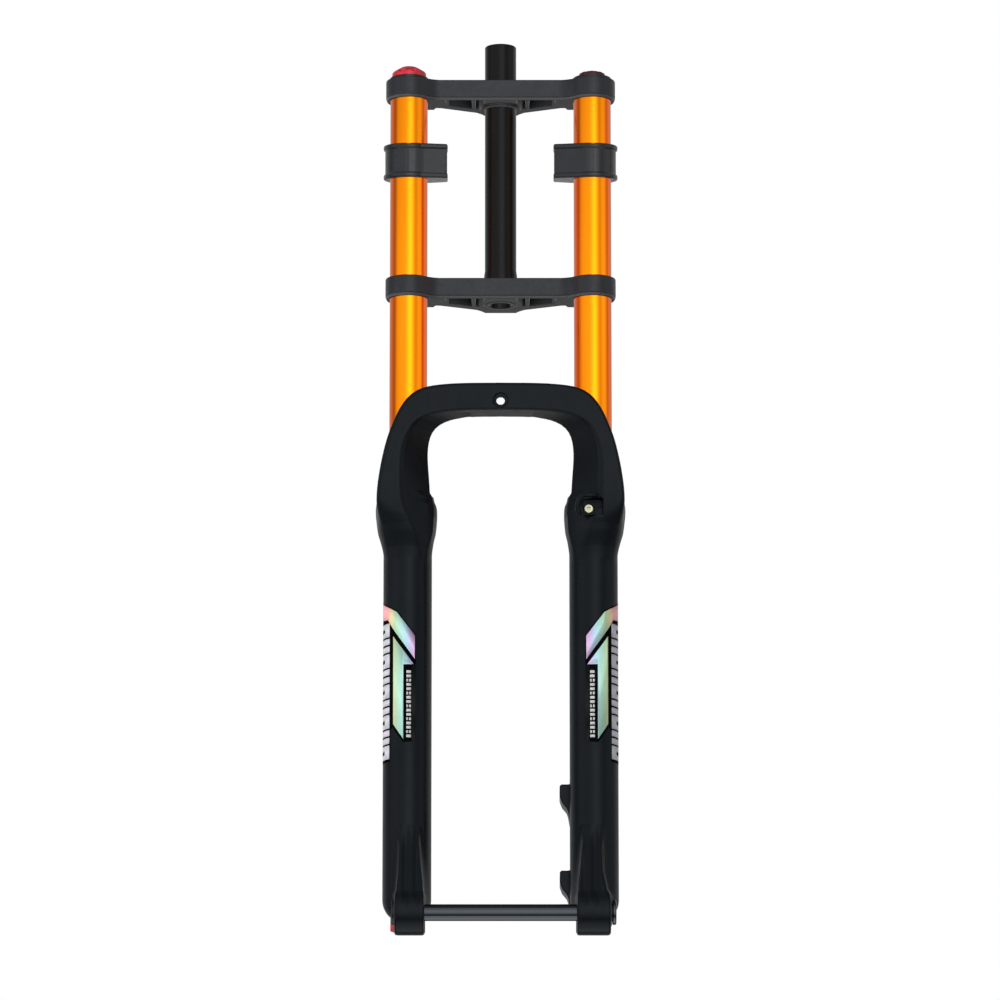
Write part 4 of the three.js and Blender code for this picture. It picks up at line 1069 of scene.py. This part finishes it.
def build_tubes():
    """The steerer and both stanchions."""
    bottom, top = span("steerer_tube", 2)
    taper = LOWER_CROWN[1] + 9
    steerer = [
        (STEERER_BORE, bottom), (RACE_RADIUS, bottom), (RACE_RADIUS, taper), (STEERER_RADIUS, taper + 4),
        (STEERER_RADIUS, top), (STEERER_BORE, top),
    ]
    made = turn("steerer_tube", steerer, STEERER, "crown_assembly", 0.7, at=(0, STEERER_Y, 0))
    made.visible_glossy = False
    for name, sign in LEGS.items():
        node = f"stanchion_{name}"
        bottom, top = span(node, 2)
        wall = tube(TUBE_BORE, TUBE_RADIUS, bottom, top)
        turn(node, wall, GOLD, "crown_assembly", 0.6, 160, (sign * LEG_X, 0, 0))


def cap_profile(bore, stem_top):
    """The plug that closes a stanchion, with a groove for its ring."""
    return [
        (bore, CROWN_TOP - 22), (PLUG - 1, CROWN_TOP - 22), (PLUG, CROWN_TOP - 21), (PLUG, CROWN_TOP - 8),
        (PLUG - 1.6, CROWN_TOP - 8), (PLUG - 1.6, CROWN_TOP - 5.8), (PLUG, CROWN_TOP - 5.8),
        (PLUG, CROWN_TOP + 0.1), (TUBE_RADIUS + 0.5, CROWN_TOP + 0.1), (TUBE_RADIUS + 0.5, CAP_TOP),
        (5, CAP_TOP), (5, stem_top), (bore, stem_top),
    ]


def build_caps():
    """Top caps with their rings, the air valve and the lockout rod."""
    cap_ring = tube(PLUG - 1.58, PLUG + 0.06, CROWN_TOP - 7.9, CROWN_TOP - 5.9)
    damper, air = (-LEG_X, 0, 0), (LEG_X, 0, 0)
    root = "crown_assembly"
    turn("damper_top_cap", cap_profile(2.8, CAP_TOP + 2), BLACK_STEEL, root, at=damper)
    stem_top = span("air_top_cap", 2)[1]
    turn("air_top_cap", cap_profile(2.6, stem_top), BLACK_STEEL, root, at=air)
    turn("damper_cap_ring", cap_ring, RING_RUBBER, root, at=damper)
    turn("air_cap_ring", cap_ring, RING_RUBBER, root, at=air)
    turn("valve_core", tube(0.85, 2.55, *span("valve_core", 2)), BRASS, root, at=air)
    low, high = span("valve_pin", 2)
    pin = [(0, low), (2.1, low), (2.1, low + 2), (0.6, low + 2), (0.6, high), (0, high)]
    turn("valve_pin", pin, STEEL, "valve_pin", 0.1, 32, air)
    rod_span = span("lockout_rod", 2)
    turn("lockout_rod", tube(0, 2.5, *rod_span), STEEL, "lockout", 0.3, 48, damper)


def repeated(angle, count):
    """An angle folded into one of count equal wedges, zero on the wedge's middle."""
    wedge = 2 * math.pi / count
    return np.mod(angle + wedge / 2, wedge) - wedge / 2


def flutes(u, v, count, radius, size, turned=0.0):
    """Round cutters spaced evenly on a circle."""
    out, angle = np.hypot(u, v), repeated(np.arctan2(v, u) + turned, count)
    return np.hypot(out * np.cos(angle) - radius, out * np.sin(angle)) - size


LOCKOUT_KNOB = (15.5, *span("lockout_knob", 2))
SCALLOPS = (0.35, 0.95, 2.2, 2.8, 4.3, 5.1)


def lockout_field(x, y, z):
    """A domed knob with finger scallops that leave a raised bar."""
    radius, bottom, top = LOCKOUT_KNOB
    u = x + LEG_X
    out = np.hypot(u, y)
    dome = [
        (0, bottom), (radius, bottom), (radius, top - 6), (radius - 0.9, top - 4.8), (10.6, top - 2.2),
        (7, top), (0, top),
    ]
    body = soft_max(outline(dome, out, z), z - top, 0.6)
    for angle in SCALLOPS:
        cutter = np.hypot(u - 15 * math.cos(angle), y - 15 * math.sin(angle)) - 3
        body = carve(body, soft_max(cutter, top - 6.5 - z, 0.5), 0.8)
    recess = np.maximum(out - 5.3, z - bottom - 3)
    hole = np.maximum(out - 2.55, z - bottom - 6)
    return carve(body, np.minimum(recess, hole), 0.3)


VALVE_CAP = (11.7, *span("air_valve_cap", 2))


def valve_cap_field(x, y, z):
    """A notched collar round the air valve."""
    radius, bottom, top = VALVE_CAP
    u = x - LEG_X
    out = np.hypot(u, y)
    body = soft_max(out - radius, slab(z, bottom, top), 0.9)
    notch = soft_max(flutes(u, y, 12, radius, 1.1), top - 2 - z, 0.3)
    body = carve(body, notch, 0.4)
    body = carve(body, np.maximum(out - radius + 2.6, top - 1.4 - z), 0.3)
    return carve(body, out - 5.3, 0.4)


REBOUND_KNOB = (14.7, *span("rebound_knob", 2))


def rebound_field(x, y, z):
    """A thin fluted knob under the damper leg."""
    radius, bottom, top = REBOUND_KNOB
    u = x + LEG_X
    out = np.hypot(u, y)
    body = soft_max(out - radius, slab(z, bottom, top), 0.9)
    body = carve(body, flutes(u, y, 16, radius + 0.5, 1.3), 0.5)
    body = carve(body, soft_max(out - 9.2, bottom + 1.4 - z, 0.4), 0.4)
    return carve(body, out - 1.55, 0.2)


def cylinder_grid(x, low, high, reach, step):
    """A grid round an upright cylinder."""
    across = lines((-reach, reach, step))
    return across + x, across, lines((low - 1, high + 1, step))


def build_knobs():
    """The two red knobs and the valve cap with its insert."""
    for node, field, x, body, look in (
        ("lockout_knob", lockout_field, -LEG_X, "lockout", RED),
        ("air_valve_cap", valve_cap_field, LEG_X, "valve_cap", SHADED_RED),
        ("rebound_knob", rebound_field, -LEG_X, "rebound_adjuster", RED),
    ):
        low, high = span(node, 2)
        grid = cylinder_grid(x, low, high, radius_of(node) + 1, 0.4)
        sculpt(node, field, grid, look, body)
    radius, _, top = VALVE_CAP
    rim = radius - 2.7
    dome = [(0, top - 1.3), (rim, top - 1.3), (rim, top), (rim - 1.5, top + 1.2), (0, top + 1.8)]
    turn("air_valve_cap_insert", dome, PAINT, "valve_cap", 0.5, at=(LEG_X, 0, 0))
    needle = tube(0, 1.5, *span("rebound_needle", 2))
    turn("rebound_needle", needle, STEEL, "rebound_adjuster", 0.2, 32, (-LEG_X, 0, 0))


def build_internals():
    """Seal heads, damper and air spring: inside the legs, seen only in a section."""
    for name, sign in LEGS.items():
        at = (sign * LEG_X, 0, 0)
        bottom, top = span(f"{name}_seal_head", 2)
        head = [
            (5.3, bottom + 2.6), (8, bottom + 2.6), (8, bottom), (16.8, bottom), (16.8, bottom + 4),
            (PLUG, bottom + 4), (PLUG, top), (5.3, top),
        ]
        turn(f"{name}_seal_head", head, ALUMINIUM, "crown_assembly", 0.6, at=at)
        lip = tube(5.1, 7.9, *span(f"{name}_rod_seal", 2))
        turn(f"{name}_rod_seal", lip, SEAL_RUBBER, "crown_assembly", at=at)
    low, high = span("compression_damper", 2)
    valve = [
        (2.8, low + 6), (4.8, low + 6), (4.8, low), (PLUG, low), (PLUG, low + 12), (PLUG - 2, low + 12),
        (PLUG - 2, low + 15), (PLUG, low + 15), (PLUG, low + 30), (7, low + 34), (7, high), (2.8, high),
    ]
    turn("compression_damper", valve, ALUMINIUM, "crown_assembly", 0.5, at=(-LEG_X, 0, 0))


PISTON_RADIUS = TUBE_BORE - 0.15


def piston_profile(node):
    """A piston on its rod, with a groove for its ring."""
    bottom, top = span(node, 2)
    bore, rim, root = ROD + 0.1, PISTON_RADIUS, PISTON_RADIUS - 2
    low, high = bottom + 8, bottom + 12
    return [
        (bore, bottom), (rim, bottom), (rim, low), (root, low), (root, high), (rim, high), (rim, top),
        (bore, top),
    ]


def build_shafts():
    """Damper rod and air shaft with their pistons, rings, bumpers and washer."""
    body = "lower_assembly"
    damper, air = (-LEG_X, 0, 0), (LEG_X, 0, 0)
    shoulder = 27.1
    for node, bore, at in (("damper_rod", 1.8, damper), ("air_shaft", 3.1, air)):
        low, high = span(node, 2)
        shaft = [
            (bore, low), (ROD, low), (ROD, shoulder), (ROD + 3, shoulder), (ROD + 3, shoulder + 4),
            (ROD, shoulder + 4.9), (ROD, high), (bore, high),
        ]
        if low > 20:
            del shaft[1:3]
        turn(node, shaft, STEEL, body, 0.3, 64, at)
    for node, at in (("rebound_piston", damper), ("air_piston", air)):
        turn(node, piston_profile(node), ALUMINIUM, body, 0.5, at=at)
    for node, at, inner, outer, look in (
        ("rebound_piston_ring", damper, PISTON_RADIUS - 1.9, PISTON_RADIUS + 0.08, LINING),
        ("air_piston_seal", air, PISTON_RADIUS - 1.9, PISTON_RADIUS + 0.08, SEAL_RUBBER),
        ("top_out_bumper", damper, ROD + 0.2, 10, SEAL_RUBBER),
        ("bottom_out_bumper", air, ROD + 3.2, 15, SEAL_RUBBER),
        ("air_crush_washer", air, 3.1, 8.5, ALUMINIUM),
    ):
        turn(node, tube(inner, outer, *span(node, 2)), look, body, 0.4, at=at)


def build_seals():
    """Wipers, foam rings and bushings, in both legs."""
    for name, sign in LEGS.items():
        at, body = (sign * LEG_X, 0, 0), "lower_assembly"
        bore = TUBE_RADIUS + 0.1
        seat = COLLAR_BORE - 0.1
        low, top = span(f"wiper_seal_{name}", 2)
        flange = COLLAR_TOP + 0.1
        wiper = [
            (bore + 0.8, low), (seat, low), (seat, flange), (COLLAR_RADIUS - 2, flange),
            (COLLAR_RADIUS - 2, flange + 1.6), (COLLAR_RADIUS - 3.5, flange + 2.4), (bore + 1.6, top),
            (bore, top), (bore + 0.8, top - 2),
        ]
        turn(f"wiper_seal_{name}", wiper, SEAL_RUBBER, body, 0.5, 128, at)
        foam_wall = tube(TUBE_RADIUS + LOOSE_FIT, seat, *span(f"foam_ring_{name}", 2))
        turn(f"foam_ring_{name}", foam_wall, FOAM, body, 0.5, at=at)
        for level in ("upper", "lower"):
            node = f"{level}_bushing_{name}"
            lining = tube(bore, LEG_BORE - 0.1, *span(node, 2))
            turn(node, lining, LINING, body, 0.3, at=at)


def build_spring():
    """The coil that balances the air spring near full extension."""
    low, high = span("negative_spring", 2)
    wire, coils, coil_radius = 1.4, 6, 9.5
    data = bpy.data.curves.new("negative_spring_wire", "CURVE")
    data.dimensions = "3D"
    data.bevel_depth = wire * MM
    data.bevel_resolution = 4
    data.use_fill_caps = True
    spline = data.splines.new("POLY")
    steps = coils * 40
    spline.points.add(steps)
    for i, point in enumerate(spline.points):
        angle = 2 * math.pi * coils * i / steps
        z = low + wire + (high - low - 2 * wire) * i / steps
        place = to_frame((LEG_X + coil_radius * math.cos(angle), coil_radius * math.sin(angle), z))
        point.co = (*place, 1)
    data.materials.append(STEEL)
    made = placed("negative_spring_wire", data)
    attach(made, "lower_assembly")
    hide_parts("negative_spring")


# ------------------------------------------------------------------ bolts and fittings


def screw_field(u, v, w, shank, head, seat, reach, length, socket, depth):
    """A socket screw along w: its head starts at seat and runs to reach."""
    out = np.hypot(u, v)
    body = soft_max(out - shank, slab(w, seat - length, seat + 0.5), 0.3)
    cap = soft_max(out - head, slab(w, seat, reach), 0.7)
    body = np.minimum(body, cap)
    return carve(body, np.maximum(hexagon(u, v, socket), reach - depth - w), 0.25)


def clamp_bolt(along, u, v, seat, length):
    """A bolt that closes a crown, with its head on seat."""
    return screw_field(u, v, along, BOLT_SHANK, BOLT_HEAD, seat, seat + 4.5, length, BOLT_SOCKET, 2.5)


def build_bolts():
    """The four leg clamp bolts and the steerer pinch bolt."""
    step = 0.35
    across = lines((-5, 5, step))
    along = lines((BOLT_SEAT - 17, BOLT_SEAT + 5.5, step))
    for level, (bottom, top) in (("lower", LOWER_CROWN), ("upper", UPPER_CROWN)):
        middle_z = (bottom + top) / 2
        for name, sign in LEGS.items():
            grid = (np.sort(sign * along), across + PINCH_Y, across + middle_z)

            def field(x, y, z, sign=sign, middle_z=middle_z):
                return clamp_bolt(sign * x, y - PINCH_Y, z - middle_z, BOLT_SEAT, 16)

            sculpt(f"{level}_clamp_bolt_{name}", field, grid, BLACK_STEEL, "crown_assembly")
    middle_z = sum(UPPER_CROWN) / 2
    grid = (lines((-12, 13.5, step)), across + STEERER_BOLT_Y, across + middle_z)

    def pinch(x, y, z):
        return clamp_bolt(x, y - STEERER_BOLT_Y, z - middle_z, STEERER_BOLT_SEAT, 19)

    sculpt("steerer_pinch_bolt", pinch, grid, BLACK_STEEL, "crown_assembly")


def build_foot_fixings():
    """The nut under the damper leg and the bolt under the air leg."""
    low, high = span("damper_foot_nut", 2)

    def nut(x, y, z):
        body = soft_max(hexagon(x + LEG_X, y, 13.86), slab(z, low, high), 0.4)
        return carve(body, np.hypot(x + LEG_X, y) - 5.1, 0.3)

    grid = cylinder_grid(-LEG_X, low, high, 9, 0.4)
    sculpt("damper_foot_nut", nut, grid, BLACK_STEEL, "lower_assembly")
    low, high = span("air_foot_bolt", 2)

    def bolt(x, y, z):
        return screw_field(x - LEG_X, y, -z, 3, 6.5, -low - 4.9, -low, high - low - 4.9, 5, 2.6)

    grid = (lines((-7.5, 7.5, 0.4)) + LEG_X, lines((-7.5, 7.5, 0.4)), lines((low - 1, high + 1, 0.4)))
    sculpt("air_foot_bolt", bolt, grid, BLACK_STEEL, "lower_assembly")


AXLE_HEAD = span("thru_axle", 0)[1]
AXLE_TIP = span("thru_axle", 0)[0]


def axle_field(x, y, z):
    """The axle: a hollow bar with a domed head and a hexagonal socket."""
    u, v = y - AXLE_Y, z - AXLE_Z
    out = np.hypot(u, v)
    bar = soft_max(out - AXLE_RADIUS, slab(x, AXLE_TIP, AXLE_HEAD - 2), 0.8)
    dome = soft_max(out - 11, slab(x, AXLE_HEAD - 3.7, AXLE_HEAD), 1.6)
    body = np.minimum(bar, dome)
    body = carve(body, np.maximum(hexagon(u, v, 6), AXLE_HEAD - 3.6 - x), 0.3)
    return carve(body, np.maximum(out - 4, x - AXLE_HEAD + 8), 0.4)


def build_axle():
    """The axle, its washer and its nut."""
    across = lines((-12, 12, 0.5))
    tip, head = (AXLE_TIP - 1, AXLE_TIP + 3), (AXLE_HEAD - 10, AXLE_HEAD + 1)
    along = lines((*tip, 0.5), (tip[1], head[0], 4), (*head, 0.4))
    grid = (along, across + AXLE_Y, across + AXLE_Z)
    sculpt("thru_axle", axle_field, grid, GLOSS, "thru_axle")
    at = (0, AXLE_Y, AXLE_Z)
    bore = AXLE_RADIUS + LOOSE_FIT
    washer = tube(bore, 11.8, *span("axle_washer", 0))
    turn("axle_washer", washer, BLACK_STEEL, "axle_washer", 0.3, 96, at, "x")
    low, high = span("axle_nut", 0)
    face = -DAMPER_BOSS_X - 0.1
    nut = [(bore, low), (11, low), (11, face), (10, face), (10, high), (bore, high)]
    turn("axle_nut", nut, BLACK_STEEL, "lower_assembly", 0.7, 96, at, "x")


def build_hose_guide():
    """A saddle for the brake hose and the screw that holds it."""
    step = 0.35
    x0, z0, floor = HOSE_X, HOSE_Z, HOSE_FLOOR
    ys = lines((floor - 7, floor + 7, step))

    def saddle(x, y, z):
        u, w = x - x0, z - z0
        plate = [(-5, -5), (5.2, -5), (5.2, 3), *arc(0, 0, 5, 36, 180, 12)]
        body = soft_max(outline(plate, u, w), slab(y, floor - 3, floor - 0.1), 0.7)
        body = carve(body, np.hypot(u, w) - 2.2, 0.3)
        return carve(body, soft_max(np.hypot(u - 4, w - 6) - 2.4, y - floor + 2, 0.3), 0.5)

    def screw(x, y, z):
        return screw_field(x - x0, z - z0, -y, 1.9, 3.9, -floor + 3.1, -floor + 6, 8.6, 3, 1.6)

    grid = (lines((x0 - 6.5, x0 + 6.5, step)), ys, lines((z0 - 6.5, z0 + 6.5, step)))
    sculpt("hose_guide", saddle, grid, PAINT, "lower_assembly")
    sculpt("hose_guide_screw", screw, grid, PALE_SCREW, "lower_assembly")


# ------------------------------------------------------------------ decals

DECAL_LIFT = 0.14
DECAL_THICKNESS = 0.1
FACET_DEGREES = 4


def decal(name, sign, patches, material, lift=DECAL_LIFT):
    """Thin vinyl on a leg. Patches are outlines in degrees round from the front and height."""
    flat = bmesh.new()
    for patch in patches:
        flat.faces.new([flat.verts.new((math.radians(a), z * MM, 0)) for a, z in patch])
    for angle in range(-92, 93, FACET_DEGREES):
        every = list(flat.verts) + list(flat.edges) + list(flat.faces)
        bmesh.ops.bisect_plane(flat, geom=every, plane_co=(math.radians(angle), 0, 0), plane_no=(1, 0, 0))
    bmesh.ops.triangulate(flat, faces=[face for face in flat.faces if len(face.verts) > 4])
    radius = LEG_RADIUS + lift
    for vertex in flat.verts:
        angle, z = vertex.co.x, vertex.co.y / MM
        x = sign * (LEG_X - radius * math.sin(angle))
        vertex.co = Vector(to_frame((x, -radius * math.cos(angle), z)))
    bmesh.ops.recalc_face_normals(flat, faces=flat.faces)
    mesh = bpy.data.meshes.new(name)
    flat.to_mesh(mesh)
    flat.free()
    mesh.materials.append(material)
    mesh.shade_smooth()
    made = placed(name, mesh)
    thick = made.modifiers.new("thickness", "SOLIDIFY")
    thick.thickness = DECAL_THICKNESS * MM
    thick.offset = -1
    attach(made, "lower_assembly")
    return made


BAND = [(-90, 305.5), (-47, 298.3), (-26, 294), (18.4, 271.7), (18.4, 250.4), (-52, 287.5), (-90, 289)]
WEDGE = [(-35, 272), (16, 245.6), (-8.7, 245.6), (-8.7, 177.7), (-34.5, 191.9)]
BACKING = [
    (-90, 306.7), (-47, 299.5), (-25, 295.3), (20.8, 272.4), (20.8, 175.6), (-9, 174.6), (-37, 189),
    (-44, 186), (-44, 158), (-90, 158),
]
BLOCK_PITCH, BLOCK_COUNT = 13.9, 9
MARK_PITCH, MARK_COUNT = 3.9, 16


def rectangle(low_angle, high_angle, low, high):
    """A patch between two angles and two heights."""
    return [(low_angle, low), (high_angle, low), (high_angle, high), (low_angle, high)]


def side_blocks():
    """A column of plain blocks on the outer side: notched and split ones in turn."""
    patches = []
    for i in range(BLOCK_COUNT):
        low = 160.6 + i * BLOCK_PITCH
        high = low + BLOCK_PITCH - 1.5
        if i % 2:
            patches.append(rectangle(-90, -46, low, low + 5.4))
            patches.append(rectangle(-90, -46, high - 5.4, high))
        else:
            patches.append(rectangle(-90, -66, low, low + 4.6))
            patches.append(rectangle(-66, -46, low, high))
            patches.append(rectangle(-90, -66, high - 4.6, high))
    return patches


def plate_marks():
    """Short bars up the black plate, every third one broken in two."""
    patches = []
    for i in range(MARK_COUNT):
        low = 179 + i * MARK_PITCH
        spans = ((-1.4, 3), (5.2, 9.4)) if i % 3 == 1 else ((-1.4, 9.4),)
        patches.extend(rectangle(*ends, low, low + 2.5) for ends in spans)
    return patches


def build_decals():
    """The same plain graphics on both legs."""
    for name, sign in LEGS.items():
        decal(f"decal_backing_{name}", sign, [BACKING], BLACK_VINYL, 0.08)
        decal(f"foil_band_{name}", sign, [BAND], FOIL_LOOK)
        decal(f"foil_wedge_{name}", sign, [WEDGE], FOIL_LOOK)
        decal(f"grey_edge_{name}", sign, [rectangle(10.6, 20.8, 175.6, 246)], GREY_VINYL)
        decal(f"plate_marks_{name}", sign, plate_marks(), WHITE_VINYL)
        decal(f"side_blocks_{name}", sign, side_blocks(), SILVER_VINYL)


# ------------------------------------------------------------------ setting

FLOOR_REACH = 60
FLOOR_GLOW = 0.4


def build_floor():
    """A pale floor that shows from above only, since the camera looks up from a little below it."""
    mesh = bpy.data.meshes.new("floor")
    corners = [(x * FLOOR_REACH, y * FLOOR_REACH, 0) for x, y in ((-1, -1), (1, -1), (1, 1), (-1, 1))]
    mesh.from_pydata(corners, [], [(0, 1, 2, 3)])
    look = Look("floor")
    look.set(base_color=(0.8, 0.8, 0.8), roughness=0.6, emission_color=(1, 1, 1))
    seen = look.add("ShaderNodeLightPath").outputs["Is Camera Ray"]
    look.set(emission_strength=look.maths("MULTIPLY", seen, FLOOR_GLOW))
    under = look.add("ShaderNodeNewGeometry").outputs["Backfacing"]
    clear = look.add("ShaderNodeBsdfTransparent").outputs[0]
    one_sided = look.mix_shaders(under, look.shader.outputs[0], clear)
    look.feed(one_sided, look.tree.nodes["Material Output"].inputs["Surface"])
    mesh.materials.append(look.material)
    floor = placed("floor", mesh)
    floor.visible_glossy = False
    floor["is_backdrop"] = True


# Brightness of the studio near the horizon, by degrees to the right of the way to the camera.
STUDIO = [
    (-180, 0.42), (-150, 0.5), (-128, 0.55), (-112, 0.48), (-96, 0.3), (-88, 0.4), (-76, 0.78), (-56, 0.9),
    (-38, 1.0), (-20, 1.05), (-10, 1.4), (0, 1.9), (6, 2.25), (14, 2.25), (22, 1.9), (32, 1.1), (41, 0.7),
    (51, 0.66), (60, 0.92), (82, 0.95), (92, 0.7), (103, 0.42), (113, 0.7), (124, 0.72), (140, 0.5),
    (180, 0.42),
]
# Its share of that above the horizon, and the light from below, by the sine of the elevation.
ABOVE = [
    (-1, 0), (-0.75, 0), (-0.55, 0.2), (-0.35, 0.65), (-0.15, 0.95), (0, 1), (0.36, 1), (0.5, 0.7),
    (0.78, 0.55), (0.9, 0.1), (1, 0.1),
]
BELOW = [(-1, 1.8), (-0.88, 1.7), (-0.78, 0.15), (-0.34, 0), (1, 0)]
BRIGHTEST = 3
STUDIO_POWER = 1.22
AMBIENT = 0.3


def build_world():
    """White to the camera; a ring of strip lights to everything that reflects."""
    world = bpy.data.worlds.new("studio")
    bpy.context.scene.world = world
    world.use_nodes = True
    nodes = Nodes(world.node_tree)
    x, y, z = nodes.parts(nodes.add("ShaderNodeTexCoord").outputs["Generated"])

    def graded(source, stops, low, high):
        """Brightness levels given at values of the source between low and high."""
        share = nodes.ranged(source, 0, 1, low, high)
        greys = [((at - low) / (high - low), (level / BRIGHTEST,) * 3) for at, level in stops]
        return nodes.ramp(share, greys)

    angle = nodes.maths("ARCTAN2", x, nodes.maths("MULTIPLY", y, -1))
    ring = graded(nodes.maths("DEGREES", angle), STUDIO, -180, 180)
    upper = nodes.maths("MULTIPLY", ring, graded(z, ABOVE, -1, 1))
    upper = nodes.maths("MULTIPLY", upper, BRIGHTEST)
    level = nodes.maths("ADD", upper, graded(z, BELOW, -1, 1))

    def background(strength):
        node = nodes.add("ShaderNodeBackground")
        nodes.feed(strength, node.inputs["Strength"])
        nodes.feed((1, 1, 1), node.inputs["Color"])
        return node.outputs[0]

    glossy = background(nodes.maths("MULTIPLY", level, BRIGHTEST * STUDIO_POWER))
    rays = nodes.add("ShaderNodeLightPath").outputs
    surface = nodes.mix_shaders(rays["Is Glossy Ray"], background(AMBIENT), glossy)
    surface = nodes.mix_shaders(rays["Is Camera Ray"], surface, background(1))
    nodes.feed(surface, nodes.tree.nodes["World Output"].inputs["Surface"])


def add_light(name, at, size, power, target=(0, 0, 0.42)):
    """A rectangular lamp that lights the fork but is not mirrored in it."""
    data = bpy.data.lights.new(name, "AREA")
    data.shape = "RECTANGLE"
    data.size, data.size_y = size
    data.energy = power
    lamp = placed(name, data)
    lamp.location = at
    lamp.rotation_euler = (Vector(target) - Vector(at)).to_track_quat("-Z", "Y").to_euler()
    lamp.visible_glossy = False


def build_lights():
    """Soft lamps that lift the left side and the tops."""
    add_light("front_left", (-1.9, -1.2, 0.8), (0.8, 1.6), 50)
    add_light("front_right", (1.9, -1.0, 0.7), (0.5, 1.6), 6)
    add_light("above", (0, -0.4, 2.2), (1.6, 1.2), 6)


VIEW_DISTANCE = 6.5
VIEW_DROP = math.radians(13.3)
VIEW_HEIGHT = 0.4014
VIEW_SIDE = -0.00054
LENS = 259.7


def build_camera():
    """A long lens a little below the fork, looking up at its middle."""
    data = bpy.data.cameras.new("camera")
    data.lens = LENS
    data.sensor_width = 36
    target = Vector((VIEW_SIDE, LEG_Y * MM, VIEW_HEIGHT))
    towards = Vector((0, math.cos(VIEW_DROP), math.sin(VIEW_DROP)))
    camera = placed("camera", data)
    camera.location = target - towards * VIEW_DISTANCE
    camera.rotation_euler = towards.to_track_quat("-Z", "Y").to_euler()
    bpy.context.scene.camera = camera


build_tubes()
build_crowns()
build_bumpers()
build_caps()
build_knobs()
build_internals()
build_lowers()
build_seals()
build_shafts()
build_spring()
build_bolts()
build_foot_fixings()
build_axle()
build_hose_guide()
build_decals()
build_floor()
build_world()
build_lights()
build_camera()
bpy.context.scene.view_settings.view_transform = "Standard"

limits = [[list(corner) for corner in box] for box in ((CAD_LOW, CAD_HIGH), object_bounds())]
